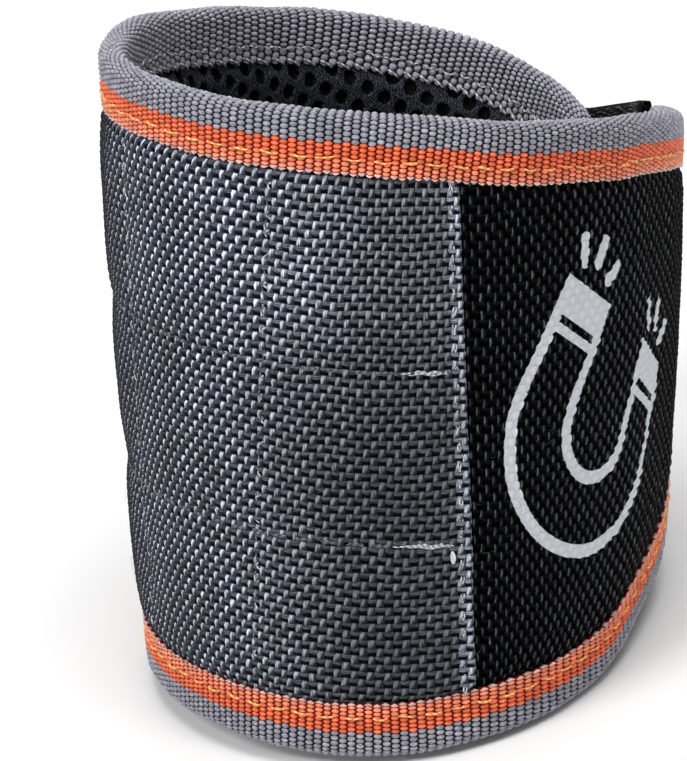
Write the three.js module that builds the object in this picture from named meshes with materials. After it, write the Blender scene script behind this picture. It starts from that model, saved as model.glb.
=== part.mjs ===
// Magnetic wristband: a padded fabric band with steel-holding magnets, worn as a loop and closed
// by a hook tongue on one end that grips a loop strip on the other. Millimetres, +Z up.
//
// The band is drawn in its own coordinates and then laid on the loop:
//   s  arc length along the band's outer surface, 0 at the front centre, positive towards the flap
//   z  height across the band
//   d  depth below the outer surface, positive towards the wrist
import * as THREE from 'three';

// ---- driving dimensions (mm) -------------------------------------------------------------------
const WIDTH = 95;                // widest width of the band, at its middle
const TAPER_CENTRE = -36.09;     // s of the widest place; both edges taper away from here
const LEAN = [0.043, -0.0382, -0.0765];   // outward lean of the wall: constant, cos and sin of heading
const BULGE = 0.7475;            // how far the middle of the wall stands proud of its edges

// curvature of the outer surface, 1/mm: [s, curvature, slope]
const CURVATURE = [
  [-215, 0.02163, 0.000087], [-190, 0.02524, 0.000259], [-165, 0.03319, 0.000265],
  [-140, 0.03478, -0.000175], [-118, 0.02543, -0.000683], [-95, 0.01165, -0.000153],
  [-70, 0.0192, 0.000334], [-45, 0.02265, 0.000137], [-22, 0.028, 0.000246], [0, 0.03059, -0.000072],
  [22, 0.02428, -0.000466], [45, 0.01277, -0.00042], [70, 0.01022, 0.000323], [95, 0.0228, 0.000333],
  [118, 0.02451, 0.000036], [140, 0.02617, -0.000017], [160, 0.0231, -0.000222],
];
// how far each edge has drawn in, by distance from the widest place: [distance, draw-in, slope]
const TAPER_TAIL = [
  [33, 0, 0], [60, 2.26, 0.0961], [80, 4.48, 0.1283], [105, 8.33, 0.1995],
  [130, 15.42, 0.362], [145, 22.5, 0], [260, 22.5, 0],
];
const TAPER_FLAP = [
  [33, 0, 0], [60, 2.26, 0.0961], [80, 4.5, 0.135], [96.1, 7.8, 0.235], [108.1, 10.25, 0.2],
  [129.1, 14.6, 0.205], [146.1, 17.95, 0.21], [157.1, 20.3, 0.2], [196.1, 26, 0.1],
];
// how far the flap's end runs uphill from the middle of the band: [s, rise, slope]
const RISE = [[44, 0, 0], [60, 1.2, 0.06], [72, 1.65, 0.02], [105, 2.2, 0.012], [121, 2.3, 0], [200, 2.3, 0]];

const TAIL_END = -215;           // inner end, tucked inside the flap
const TAIL_CUT = -128;           // where the tail starts to flex
const FLAP_CUT = 84;             // where the flap starts to peel
const FLAP_END = 107;            // end of the padded flap
const TONGUE_START = 98;         // hook tongue, sewn under the flap's end
const TONGUE_CUT = 107.6;        // where the tongue starts to peel
const TONGUE_END = 160;
const CUT_GAP = 0.3;             // clearance at a flexing cut
const STEP = 6;                  // length of one facet along the band

const FABRIC = 0.7;              // woven shell
const PRESSED = 0.5;             // woven shell where it is sewn down
const TAPE_EDGE = 8.65;          // height of the edge tape on each face
const TAPE_OUT = -0.2;           // outer face of the tape
const TAPE_IN = 4.2;             // inner face of the tape
const LINING_IN = 5.0;           // inner face of the air-mesh lining
const LINING_IN_MAGNETS = 5.7;   // the same behind the magnets
const LOOP_OUT = -2.0;           // outer face of the loop strip on the tail
const STRAP_LOW = 22.5;          // loop strip: 50 mm tape
const STRAP_HIGH = 72.5;
const LOOP_END = -208;
const LOOP_START = -112;

const PANEL_LEFT = -70;          // magnet panel
const PANEL_RIGHT = 16.2;        // at mid height; this seam slants
const SEAM_SLANT = 0.092;
const MAGNET_COLUMNS = [-55.6, -27.8, 0];
const MAGNET_ROWS = [21.5, 45.8, 72];
const MAGNET = [10, 20, 1.5];    // along the band, across it, thick
const MAGNET_DEPTH = 2.1;        // depth of a magnet's outer face

// the band stands on its lower edge, leaning a little to the back and to the flap side
const REST_TILT = new THREE.Quaternion().setFromAxisAngle(
  new THREE.Vector3(-0.5708, 0.8211, 0).normalize(), THREE.MathUtils.degToRad(7.669));
const REST_SHIFT = new THREE.Vector3(-12.0862, -54.6161, 1.189);

// ---- colours from the picture ------------------------------------------------------------------
const BLACK = 0x17181b, CHARCOAL = 0x2b2d33, GREY = 0x77767c, FOAM = 0x3a3a3c, MESH = 0x141416;
const STEEL = 0xb4b6ba, HOOK = 0x101012;

// ---- the loop's shape --------------------------------------------------------------------------
function hermite(table, x) {
  const n = table.length;
  if (x <= table[0][0]) return table[0][1];
  if (x >= table[n - 1][0]) return table[n - 1][1];
  let i = 0;
  while (x > table[i + 1][0]) i++;
  const [x0, y0, m0] = table[i], [x1, y1, m1] = table[i + 1];
  const h = x1 - x0, t = (x - x0) / h, t2 = t * t, t3 = t2 * t;
  return (2 * t3 - 3 * t2 + 1) * y0 + (t3 - 2 * t2 + t) * h * m0 + (3 * t2 - 2 * t3) * y1 + (t3 - t2) * h * m1;
}
const PLAN = (() => {
  const step = 0.5, low = -216, high = 162, n = Math.round((high - low) / step), zero = Math.round(-low / step);
  const k = Array.from({ length: n + 1 }, (_, i) => hermite(CURVATURE, low + i * step));
  const psi = [0], x = [0], y = [0];
  for (let i = 1; i <= n; i++) psi.push(psi[i - 1] + (k[i] + k[i - 1]) / 2 * step);
  const p0 = psi[zero];
  for (let i = 0; i <= n; i++) psi[i] -= p0;
  for (let i = 1; i <= n; i++) {
    x.push(x[i - 1] + (Math.cos(psi[i]) + Math.cos(psi[i - 1])) / 2 * step);
    y.push(y[i - 1] + (Math.sin(psi[i]) + Math.sin(psi[i - 1])) / 2 * step);
  }
  const x0 = x[zero], y0 = y[zero];
  return { step, low, n, psi, x: x.map(v => v - x0), y: y.map(v => v - y0) };
})();
function plan(s) {
  const u = Math.min(Math.max((s - PLAN.low) / PLAN.step, 0), PLAN.n - 1e-9), i = Math.floor(u), t = u - i;
  const mix = a => a[i] + (a[i + 1] - a[i]) * t;
  return [mix(PLAN.x), mix(PLAN.y), mix(PLAN.psi)];
}
const drawIn = s => (s < TAPER_CENTRE ? hermite(TAPER_TAIL, TAPER_CENTRE - s) : hermite(TAPER_FLAP, s - TAPER_CENTRE));
const lowEdge = s => drawIn(s) + hermite(RISE, s);
const highEdge = s => WIDTH - drawIn(s) + hermite(RISE, s);
// the magnet panel's seam slants, and the lines of the cloth next to it slant with it
const slanted = (s, z) => s + SEAM_SLANT * (WIDTH / 2 - z) * Math.max(0, 1 - Math.abs(s - PANEL_RIGHT) / 24);
function place(s, z, d) {
  const [x, y, psi] = plan(s), u = z - WIDTH / 2;
  const lean = LEAN[0] + LEAN[1] * Math.cos(psi) + LEAN[2] * Math.sin(psi);
  const off = lean * u + BULGE * (1 - (u / (WIDTH / 2)) ** 2) - d;
  return new THREE.Vector3(x + Math.sin(psi) * off, y - Math.cos(psi) * off, z);
}

// ---- builders ----------------------------------------------------------------------------------
function finish(name, geometry, colour, roughness = 0.9, metalness = 0) {
  geometry.computeVertexNormals();
  const mesh = new THREE.Mesh(geometry, new THREE.MeshStandardMaterial({ color: colour, roughness, metalness }));
  mesh.name = name;
  return mesh;
}
function stations(from, to, extra = []) {
  const n = Math.max(1, Math.round((to - from) / STEP));
  const list = Array.from({ length: n + 1 }, (_, i) => from + (to - from) * i / n);
  const kept = list.filter((v, i) => i === 0 || i === n || extra.every(e => Math.abs(e - v) > 1.8));
  return [...kept, ...extra.filter(e => e > from + 0.5 && e < to - 0.5)].sort((a, b) => a - b);
}
// a sheet of the band: a box whose grid is laid on the loop. rows(s, real) gives the heights and
// the outer and inner depth at each of them; real is s once the line has been slanted.
function sheet(name, colour, along, rows, slant = false) {
  const across = rows(along[0], along[0]).length - 1, n = along.length - 1;
  const geometry = new THREE.BoxGeometry(1, 1, 1, n, across, 1);
  const position = geometry.attributes.position;
  for (let i = 0; i < position.count; i++) {
    const s = along[Math.round((position.getX(i) + 0.5) * n)];
    const row = Math.round((position.getY(i) + 0.5) * across);
    const real = slant ? slanted(s, rows(s, s)[row][0]) : s;      // the edges are drawn where the line really is
    const [z, outer, inner] = rows(s, real)[row];
    const p = place(real, z, position.getZ(i) > 0 ? outer : inner);
    position.setXYZ(i, p.x, p.y, p.z);
  }
  return finish(name, geometry, colour);
}
// the folded edge tape: its section runs down one face, over the edge and down the other
const TAPE_SECTION = [
  [TAPE_EDGE, TAPE_OUT], [1.9, TAPE_OUT], [0.7, 0.3], [0, 1.35], [0, 2.65], [0.7, 3.7], [1.9, TAPE_IN],
  [TAPE_EDGE, TAPE_IN], [TAPE_EDGE, 3.5], [2.1, 3.5], [1.3, 3.1], [0.8, 2.4], [0.8, 1.6], [1.3, 0.9],
  [2.1, 0.5], [TAPE_EDGE, 0.5],
];
function tape(name, along, top) {
  const n = along.length - 1;
  const shape = new THREE.Shape(TAPE_SECTION.map(([e, d]) => new THREE.Vector2(top ? -e : e, -d)));
  const geometry = new THREE.ExtrudeGeometry(shape, { depth: 1, steps: n, bevelEnabled: false });
  const position = geometry.attributes.position;
  for (let i = 0; i < position.count; i++) {
    const s = along[Math.round(position.getZ(i) * n)];
    const p = place(s, (top ? highEdge(s) : lowEdge(s)) + position.getX(i), -position.getY(i));
    position.setXYZ(i, p.x, p.y, p.z);
  }
  return finish(name, geometry, GREY);
}
// the same tape folded over a padded end: it runs up the end between the two edge tapes
function endTape(name, end, inwards) {
  const low = lowEdge(end) + TAPE_EDGE + 0.4, high = highEdge(end) - TAPE_EDGE - 0.4;
  const shape = new THREE.Shape(TAPE_SECTION.map(([e, d]) => new THREE.Vector2(inwards * e, -d)));
  const geometry = new THREE.ExtrudeGeometry(shape, { depth: 1, steps: 3, bevelEnabled: false });
  const position = geometry.attributes.position;
  // the extrusion runs up the band, so the section's plane is turned with it
  for (let i = 0; i < position.count; i++) {
    const z = high + (low - high) * position.getZ(i);
    const p = place(end + position.getX(i), z, -position.getY(i));
    position.setXYZ(i, p.x, p.y, p.z);
  }
  return finish(name, geometry, GREY);
}
const zone = s => {      // 1 behind the magnet panel, 0 elsewhere, with a short ramp at each side
  const left = (s - (PANEL_LEFT - 3)) / 2, right = (PANEL_RIGHT + 2.6 - s) / 2;
  return Math.min(1, Math.max(0, Math.min(left, right)));
};
// 1 under the tape over a padded end, 0 beyond it, with a ramp of the given length
const pressed = (s, ramp) => Math.min(1, Math.max(0, 1 - (Math.min(FLAP_END - s, s - TAIL_END) - 9) / ramp));
// the woven shell: on the outside, sunk under the edge tapes and under the magnet panel
const shellRows = (s, real) => {
  const low = lowEdge(real), high = highEdge(real), sunk = 0.8, t = Math.max(zone(s), pressed(s, 1));
  const mid = sunk * t, thick = FABRIC + (PRESSED - FABRIC) * t;
  const edge = [sunk, sunk + PRESSED], field = [mid, mid + thick];
  return [
    [low + 2.3, ...edge], [low + 9, ...edge], [low + 10, ...field], [(low + high) / 2, ...field],
    [high - 10, ...field], [high - 9, ...edge], [high - 2.3, ...edge],
  ];
};
const foamRows = (s, real) => {
  const low = lowEdge(real) + 11.8, high = highEdge(real) - 11.8;
  return [[low, 1.0, 3.3], [(low + high) / 2, 1.0, 3.3], [high, 1.0, 3.3]];
};
const liningRows = (s, real) => {
  const low = lowEdge(real), high = highEdge(real), t = zone(s), end = pressed(s, 2.2);
  const field = [3.6 + 0.8 * t - 1.2 * end, LINING_IN + (LINING_IN_MAGNETS - LINING_IN) * t - 1.8 * end], edge = [2.4, 3.2];
  return [
    [low + 2.3, ...edge], [low + 9, ...edge], [low + 11.2, ...field], [(low + high) / 2, ...field],
    [high - 11.2, ...field], [high - 9, ...edge], [high - 2.3, ...edge],
  ];
};
const flatRows = (low, high, outer, inner) => () => [[low, outer, inner], [(low + high) / 2, outer, inner], [high, outer, inner]];

// ---- pieces ------------------------------------------------------------------------------------
const half = CUT_GAP / 2;
const centre = stations(TAIL_CUT + half, FLAP_CUT - half, [PANEL_LEFT - 3, PANEL_LEFT - 1, PANEL_RIGHT + 0.6, PANEL_RIGHT + 2.6]);
const flapLine = stations(FLAP_CUT + half, FLAP_END - 2.3, [FLAP_END - 11.2, FLAP_END - 10, FLAP_END - 9]);
const flapEdge = stations(FLAP_CUT + half, FLAP_END);
const tailLine = stations(TAIL_END + 2.3, TAIL_CUT - half, [TAIL_END + 9, TAIL_END + 10, TAIL_END + 11.2]);
const tailEdge = stations(TAIL_END, TAIL_CUT - half);

// band: the wide middle that carries the magnets
const band = new THREE.Group();
band.add(
  sheet('outer_shell_centre', BLACK, centre, shellRows, true),
  sheet('magnet_panel', CHARCOAL, stations(PANEL_LEFT, PANEL_RIGHT), (s, real) => {
    const low = lowEdge(real) + 9, high = highEdge(real) - 9;
    return [[low, 0, 0.5], [low + 1, 0, 0.5], [(low + high) / 2, 0, 0.5], [high - 1, 0, 0.5], [high, 0, 0.5]];
  }, true),
  sheet('magnet_pocket_sheet', CHARCOAL, stations(PANEL_LEFT + 1, PANEL_RIGHT - 2), (s, real) => {
    const low = lowEdge(real) + 11.8, high = highEdge(real) - 11.8;
    return [[low, 3.9, 4.15], [(low + high) / 2, 3.9, 4.15], [high, 3.9, 4.15]];
  }, true),
  sheet('foam_pad_right', FOAM, stations(PANEL_RIGHT + 5, FLAP_CUT - half), foamRows, true),
  sheet('foam_pad_left', FOAM, stations(TAIL_CUT + half, PANEL_LEFT - 4), foamRows),
  sheet('mesh_lining_centre', MESH, centre, liningRows, true),
  tape('top_edge_tape_centre', centre, true),
  tape('bottom_edge_tape_centre', centre, false),
  sheet('loop_strip_start', HOOK, stations(TAIL_CUT + half, LOOP_START), flatRows(STRAP_LOW, STRAP_HIGH, LOOP_OUT, -0.5)),
);
MAGNET_COLUMNS.forEach((s, i) => MAGNET_ROWS.forEach((z, j) => {
  const centrePoint = place(s, z, MAGNET_DEPTH + MAGNET[2] / 2);
  const along = place(s + 1, z, 0).sub(place(s - 1, z, 0)).normalize();
  const up = place(s, z + 1, 0).sub(place(s, z - 1, 0)).normalize();
  const out = new THREE.Vector3().crossVectors(along, up).normalize();
  up.crossVectors(out, along).normalize();
  const magnet = finish(`magnet_${'abc'[i]}${j + 1}`, new THREE.BoxGeometry(...MAGNET), STEEL, 0.35, 0.9);
  magnet.position.copy(centrePoint);
  magnet.quaternion.setFromRotationMatrix(new THREE.Matrix4().makeBasis(along, up, out));
  band.add(magnet);
}));

// flap: the padded outer end
const flap = new THREE.Group();
flap.add(
  sheet('outer_shell_flap', BLACK, flapLine, shellRows),
  sheet('foam_pad_flap', FOAM, stations(FLAP_CUT + half, FLAP_END - 11.8), foamRows),
  sheet('mesh_lining_flap', MESH, flapLine, liningRows),
  tape('top_edge_tape_flap', flapEdge, true),
  tape('bottom_edge_tape_flap', flapEdge, false),
  endTape('end_tape_flap', FLAP_END, -1),
);

// tongue: the hook tape and its backing, as wide as the band's end and tapering on, which peel off
// the tail; their root is sewn to the flap
const tongue = new THREE.Group();
const tongueRows = (outer, inner) => s => {
  const left = TONGUE_END - s, r = 8, round = left < r ? r - Math.sqrt(Math.max(0, r * r - (r - left) ** 2)) : 0;
  const low = lowEdge(s) + round, high = highEdge(s) - round;
  return [[low, outer, inner], [(low + high) / 2, outer, inner], [high, outer, inner]];
};
const rootLine = stations(TONGUE_START, TONGUE_CUT - half);
flap.add(
  sheet('tongue_backing_root', BLACK, rootLine, tongueRows(5.35, 6.05)),
  sheet('hook_tape_root', HOOK, rootLine, tongueRows(6.35, 7.45)),
);
const tongueLine = [...stations(TONGUE_CUT + half, TONGUE_END - 8), TONGUE_END - 5, TONGUE_END - 2.5, TONGUE_END - 0.8, TONGUE_END];
tongue.add(
  sheet('tongue_backing', BLACK, tongueLine, tongueRows(5.35, 6.05)),
  sheet('hook_tape', HOOK, tongueLine, tongueRows(6.35, 7.45)),
);

// tail: the padded inner end with the loop strip
const tail = new THREE.Group();
tail.add(
  sheet('outer_shell_tail', BLACK, tailLine, shellRows),
  sheet('foam_pad_tail', FOAM, stations(TAIL_END + 11.8, TAIL_CUT - half), foamRows),
  sheet('mesh_lining_tail', MESH, tailLine, liningRows),
  tape('top_edge_tape_tail', tailEdge, true),
  tape('bottom_edge_tape_tail', tailEdge, false),
  endTape('end_tape_tail', TAIL_END, 1),
  sheet('loop_strip_tail', HOOK, stations(LOOP_END, TAIL_CUT - half), flatRows(STRAP_LOW, STRAP_HIGH, LOOP_OUT, -0.5)),
);

const standing = new THREE.Group();
standing.add(band, flap, tongue, tail);
standing.quaternion.copy(REST_TILT);
standing.position.copy(REST_SHIFT);

const wristband = new THREE.Group();
wristband.name = 'magnetic_wristband';
wristband.add(standing);
export default wristband;
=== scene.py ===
"""Looks of a padded magnetic wristband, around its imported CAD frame. Lengths are in millimetres until a mesh is made."""

import math

import bpy
import numpy as np
from mathutils import Matrix, Vector


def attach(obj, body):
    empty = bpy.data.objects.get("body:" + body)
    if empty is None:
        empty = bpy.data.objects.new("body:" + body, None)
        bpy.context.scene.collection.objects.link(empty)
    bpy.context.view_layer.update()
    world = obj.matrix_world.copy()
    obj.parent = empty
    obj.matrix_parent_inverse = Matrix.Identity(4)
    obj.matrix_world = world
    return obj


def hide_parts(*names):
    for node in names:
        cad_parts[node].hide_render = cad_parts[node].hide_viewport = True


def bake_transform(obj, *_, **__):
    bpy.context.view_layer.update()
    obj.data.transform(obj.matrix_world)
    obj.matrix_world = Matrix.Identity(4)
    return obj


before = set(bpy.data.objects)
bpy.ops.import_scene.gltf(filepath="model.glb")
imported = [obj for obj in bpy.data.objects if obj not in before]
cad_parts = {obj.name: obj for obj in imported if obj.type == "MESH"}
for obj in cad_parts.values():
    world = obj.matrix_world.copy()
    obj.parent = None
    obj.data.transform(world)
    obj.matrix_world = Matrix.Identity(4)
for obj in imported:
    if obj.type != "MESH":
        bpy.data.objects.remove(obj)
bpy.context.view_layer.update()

MM = 0.001
PI = math.pi

# ---------------------------------------------------------------------------------------------
# The loop: s runs along the band, z across it, d is the depth below its outer face.
# ---------------------------------------------------------------------------------------------
WIDTH, TAPER_CENTRE, BULGE = 95.0, -36.09, 0.7475
LEAN = (0.043, -0.0382, -0.0765)
CURVATURE = np.array([
    [-215, 0.02163, 0.000087], [-190, 0.02524, 0.000259], [-165, 0.03319, 0.000265],
    [-140, 0.03478, -0.000175], [-118, 0.02543, -0.000683], [-95, 0.01165, -0.000153],
    [-70, 0.0192, 0.000334], [-45, 0.02265, 0.000137], [-22, 0.028, 0.000246], [0, 0.03059, -0.000072],
    [22, 0.02428, -0.000466], [45, 0.01277, -0.00042], [70, 0.01022, 0.000323], [95, 0.0228, 0.000333],
    [118, 0.02451, 0.000036], [140, 0.02617, -0.000017], [160, 0.0231, -0.000222],
])
TAPER_TAIL = np.array([
    [33, 0, 0], [60, 2.26, 0.0961], [80, 4.48, 0.1283], [105, 8.33, 0.1995],
    [130, 15.42, 0.362], [145, 22.5, 0], [260, 22.5, 0],
])
TAPER_FLAP = np.array([
    [33, 0, 0], [60, 2.26, 0.0961], [80, 4.5, 0.135], [96.1, 7.8, 0.235], [108.1, 10.25, 0.2],
    [129.1, 14.6, 0.205], [146.1, 17.95, 0.21], [157.1, 20.3, 0.2], [196.1, 26, 0.1],
])
RISE = np.array([[44, 0, 0], [60, 1.2, 0.06], [72, 1.65, 0.02], [105, 2.2, 0.012], [121, 2.3, 0], [200, 2.3, 0]])
PANEL_LEFT, PANEL_RIGHT, SEAM_SLANT = -70.0, 16.2, 0.092
TAIL_END, TAIL_CUT, FLAP_CUT, FLAP_END = -215.0, -128.0, 84.0, 107.0
TONGUE_START, TONGUE_CUT, TONGUE_END = 98.0, 107.6, 160.0
STRAP_LOW, STRAP_HIGH = 22.5, 72.5
PANEL_HEM = 15.75                   # where the cloth of the panel really ends
SPLIT = -28.0                      # the long cloth pieces are drawn as two halves that meet here
TAPE_EDGE, TAPE_OUT, TAPE_IN = 8.65, -0.2, 4.2


def hermite(table, x):
    x = np.asarray(x, float)
    xs = table[:, 0]
    xc = np.clip(x, xs[0], xs[-1])
    i = np.clip(np.searchsorted(xs, xc, side="left") - 1, 0, len(xs) - 2)
    h = xs[i + 1] - xs[i]
    t = (xc - xs[i]) / h
    r = ((2 * t**3 - 3 * t**2 + 1) * table[i, 1] + (t**3 - 2 * t**2 + t) * h * table[i, 2]
         + (3 * t**2 - 2 * t**3) * table[i + 1, 1] + (t**3 - t**2) * h * table[i + 1, 2])
    return np.where(x <= xs[0], table[0, 1], np.where(x >= xs[-1], table[-1, 1], r))


SS = -216 + 0.5 * np.arange(757)
_k = hermite(CURVATURE, SS)
PSI = np.concatenate([[0], np.cumsum((_k[1:] + _k[:-1]) / 2 * 0.5)])
PSI -= PSI[432]
PX = np.concatenate([[0], np.cumsum((np.cos(PSI)[1:] + np.cos(PSI)[:-1]) / 2 * 0.5)])
PY = np.concatenate([[0], np.cumsum((np.sin(PSI)[1:] + np.sin(PSI)[:-1]) / 2 * 0.5)])
PX -= PX[432]
PY -= PY[432]
# the same curve on a fine grid, so that a close look shows no corners
FS = np.arange(-216, 162, 0.05)


def _cubic(values, slopes, at):
    i = np.clip(((at + 216) / 0.5).astype(int), 0, len(SS) - 2)
    t = (at - SS[i]) / 0.5
    return ((2 * t**3 - 3 * t**2 + 1) * values[i] + (t**3 - 2 * t**2 + t) * 0.5 * slopes[i]
            + (3 * t**2 - 2 * t**3) * values[i + 1] + (t**3 - t**2) * 0.5 * slopes[i + 1])


FX, FY, FPSI = _cubic(PX, np.cos(PSI), FS), _cubic(PY, np.sin(PSI), FS), _cubic(PSI, _k, FS)


def draw_in(s):
    s = np.asarray(s, float)
    return np.where(s < TAPER_CENTRE, hermite(TAPER_TAIL, TAPER_CENTRE - s), hermite(TAPER_FLAP, s - TAPER_CENTRE))


def low_edge(s):
    return draw_in(s) + hermite(RISE, s)


def high_edge(s):
    return WIDTH - draw_in(s) + hermite(RISE, s)


_tilt = math.radians(7.669)
_axis = np.array([-0.5708, 0.8211, 0.0])
_axis /= np.linalg.norm(_axis)
_K = np.array([[0, -_axis[2], _axis[1]], [_axis[2], 0, -_axis[0]], [-_axis[1], _axis[0], 0]])
R = np.eye(3) + math.sin(_tilt) * _K + (1 - math.cos(_tilt)) * _K @ _K
SHIFT = np.array([-12.0862, -54.6161, 1.189])


def place(s, z, d):
    """The point of the standing band at that arc length, height and depth, in mm in the shared frame."""
    s, z = np.asarray(s, float), np.asarray(z, float)
    # the cloth is drawn in a little at the two tight bends
    d = d + 0.72 * np.exp(-((s + 68) / 14.0) ** 4) + 0.75 * np.exp(-((s - 76) / 19.0) ** 4)
    x, y, psi = np.interp(s, FS, FX), np.interp(s, FS, FY), np.interp(s, FS, FPSI)
    u = z - WIDTH / 2
    lean = LEAN[0] + LEAN[1] * np.cos(psi) + LEAN[2] * np.sin(psi)
    off = lean * u + BULGE * (1 - (u / (WIDTH / 2)) ** 2) - d
    return np.stack([x + np.sin(psi) * off, y - np.cos(psi) * off, z + 0 * x], -1) @ R.T + SHIFT


def slanted(s, z):
    """Where a line of the cloth near the panel's slanting right seam really runs."""
    return s + SEAM_SLANT * (WIDTH / 2 - z) * np.maximum(0, 1 - np.abs(s - PANEL_RIGHT) / 24)


def smooth(x, a, b):
    t = np.clip((np.asarray(x, float) - a) / (b - a), 0, 1)
    return t * t * (3 - 2 * t)


_rng = np.random.default_rng(11)
_WAVES = [(_rng.uniform(0, 2 * PI), _rng.uniform(0, 2 * PI), _rng.uniform(0.7, 1.3), _rng.uniform(0.7, 1.3)) for _ in range(9)]


def wobble(s, z, length, seed=0):
    """A gentle uneven field of about that wavelength, between -1 and 1, the same on every run."""
    out = 0
    for i in range(3):
        a, b, p, q = _WAVES[(i + 3 * seed) % 9]
        k = 2 * PI / length * (1 + 0.37 * i)
        out = out + np.sin(k * p * s + a + 1.7 * np.sin(k * q * z * 0.8 + b)) * (0.5, 0.3, 0.2)[i]
    return out


def hashed(*cells):
    """A fixed number from 0 to 1 for each lattice cell."""
    n = sum(np.floor(c).astype(np.int64) * m for c, m in zip(cells, (73856093, 19349663, 83492791)))
    n = (n ^ (n >> 13)) * 1274126177
    n = (n ^ (n >> 16)) & 0xFFFFFF
    return n / float(0x1000000)


SEAMS_ACROSS, SEAMS_ALONG = (-69.0, -41.5, -14.3, 13.5), (33.2, 58.5)
SETTLE_FROM, SETTLE_STEP, SETTLE_COUNT, SETTLE_ROWS = -206.0, 1.6, 191, 51


def settle(frames=20):
    """Cloth simulation of the outer cloth, laid flat: sewn down along its seams and under the tapes, a little
    larger than its frame, and pushed out from behind. Returns how far each point rose, in mm."""
    s = SETTLE_FROM + SETTLE_STEP * np.arange(SETTLE_COUNT)
    low, high = low_edge(s) + 9.4, high_edge(s) - 9.4
    S, Q = np.meshgrid(s, np.linspace(0, 1, SETTLE_ROWS), indexing="ij")
    Z = low[:, None] + (high - low)[:, None] * Q
    scale = 0.01                                              # 1 mm is 1 cm here, which suits the solver
    mesh = bpy.data.meshes.new("settling")
    mesh.from_pydata((np.stack([S, Z, 0 * S], -1).reshape(-1, 3) * scale).tolist(), [], quads_of(*S.shape).tolist())
    ob = bpy.data.objects.new("settling", mesh)
    scene = bpy.context.scene
    scene.collection.objects.link(ob)
    sewn = np.zeros(S.shape, bool)
    sewn[0] = sewn[-1] = sewn[:, 0] = sewn[:, -1] = True
    for line in SEAMS_ACROSS:
        sewn[int(np.argmin(np.abs(s - line)))] = True
    for row in SEAMS_ALONG:
        for n in np.where((s > PANEL_LEFT) & (s < PANEL_RIGHT - 2))[0]:
            sewn[n, int(np.argmin(np.abs(Z[n] - row)))] = True
    ob.vertex_groups.new(name="sewn").add([int(n) for n in np.where(sewn.ravel())[0]], 1.0, "REPLACE")
    cloth_of = ob.modifiers.new("cloth", "CLOTH")
    how = cloth_of.settings
    how.vertex_group_mass, how.quality, how.mass = "sewn", 5, 0.15
    how.tension_stiffness = how.compression_stiffness = 15
    how.shear_stiffness, how.bending_stiffness, how.shrink_min = 5, 0.05, -0.012
    how.use_pressure, how.uniform_pressure_force = True, 0.6
    how.effector_weights.gravity = 0
    cloth_of.collision_settings.use_self_collision = False
    cloth_of.point_cache.frame_start, cloth_of.point_cache.frame_end = 1, frames
    for f in range(1, frames + 1):
        scene.frame_set(f)
    shaped = ob.evaluated_get(bpy.context.evaluated_depsgraph_get())
    out = shaped.to_mesh()
    co = np.zeros(len(out.vertices) * 3, np.float32)
    out.vertices.foreach_get("co", co)
    shaped.to_mesh_clear()
    scene.frame_set(1)
    rise = np.nan_to_num(co.reshape(*S.shape, 3)[..., 2].astype(float) / scale)
    bpy.data.objects.remove(ob)
    bpy.data.meshes.remove(mesh)
    # the padding behind the black cloth takes most of the swelling back, and the creases stay
    def soft(a, times):
        for _ in range(times):
            a = np.pad(a, 1, mode="edge")
            a = (a[:-2, 1:-1] + a[2:, 1:-1] + a[1:-1, :-2] + a[1:-1, 2:] + 4 * a[1:-1, 1:-1]) / 8
        return a
    on_panel = (smooth(s, PANEL_LEFT - 1, PANEL_LEFT + 1) * (1 - smooth(s, PANEL_RIGHT - 3, PANEL_RIGHT - 1)))[:, None]
    on_cells = 0.62 * np.tanh(rise / 0.85) - 0.30
    on_shell = 0.30 * np.tanh(rise / 5.0) - 0.12 + np.clip(0.55 * (rise - soft(rise, 24)), -0.22, 0.22)
    return soft(on_cells * on_panel + on_shell * (1 - on_panel), 1)


def quads_of(ni, nj, flip=False):
    i, j = np.meshgrid(np.arange(ni - 1), np.arange(nj - 1), indexing="ij")
    a = (i * nj + j).ravel()
    q = np.stack([a, a + nj, a + nj + 1, a + 1], 1)
    return q[:, ::-1] if flip else q


SETTLED = settle()


def settled(s, z):
    """The settled cloth's rise at any place, through smooth patches of nine points."""
    s, z = np.broadcast_arrays(np.asarray(s, float), np.asarray(z, float))
    low, high = low_edge(s) + 9.4, high_edge(s) - 9.4
    a = np.clip((s - SETTLE_FROM) / SETTLE_STEP, 0, SETTLE_COUNT - 1)
    b = np.clip((z - low) / (high - low), 0, 1) * (SETTLE_ROWS - 1)
    i, j = np.floor(a + 0.5).astype(int), np.floor(b + 0.5).astype(int)
    u, v = a - i, b - j
    wu = (0.5 * (0.5 - u) ** 2, 0.75 - u**2, 0.5 * (0.5 + u) ** 2)
    wv = (0.5 * (0.5 - v) ** 2, 0.75 - v**2, 0.5 * (0.5 + v) ** 2)
    out = 0
    for di in (-1, 0, 1):
        for dj in (-1, 0, 1):
            out = out + wu[di + 1] * wv[dj + 1] * SETTLED[np.clip(i + di, 0, SETTLE_COUNT - 1), np.clip(j + dj, 0, SETTLE_ROWS - 1)]
    return out


def puff(s, z):
    """How far the cloth stands above or below its mean face: the settled cloth, its stitch lines and some slack."""
    on_panel = smooth(s, PANEL_LEFT - 1, PANEL_LEFT + 3) * (1 - smooth(s, PANEL_RIGHT - 5, PANEL_RIGHT + 1))
    groove = 0
    for line in SEAMS_ACROSS:
        groove = groove + np.exp(-((s - line) / 1.3) ** 2)
    for row in SEAMS_ALONG:
        groove = groove + 0.7 * np.exp(-((z - row) / 1.1) ** 2)
    return 0.18 * wobble(s, z, 46) + 0.06 * wobble(s, z, 17, 1) + settled(s, z) - 0.16 * np.minimum(groove, 1.2) * on_panel


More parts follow.
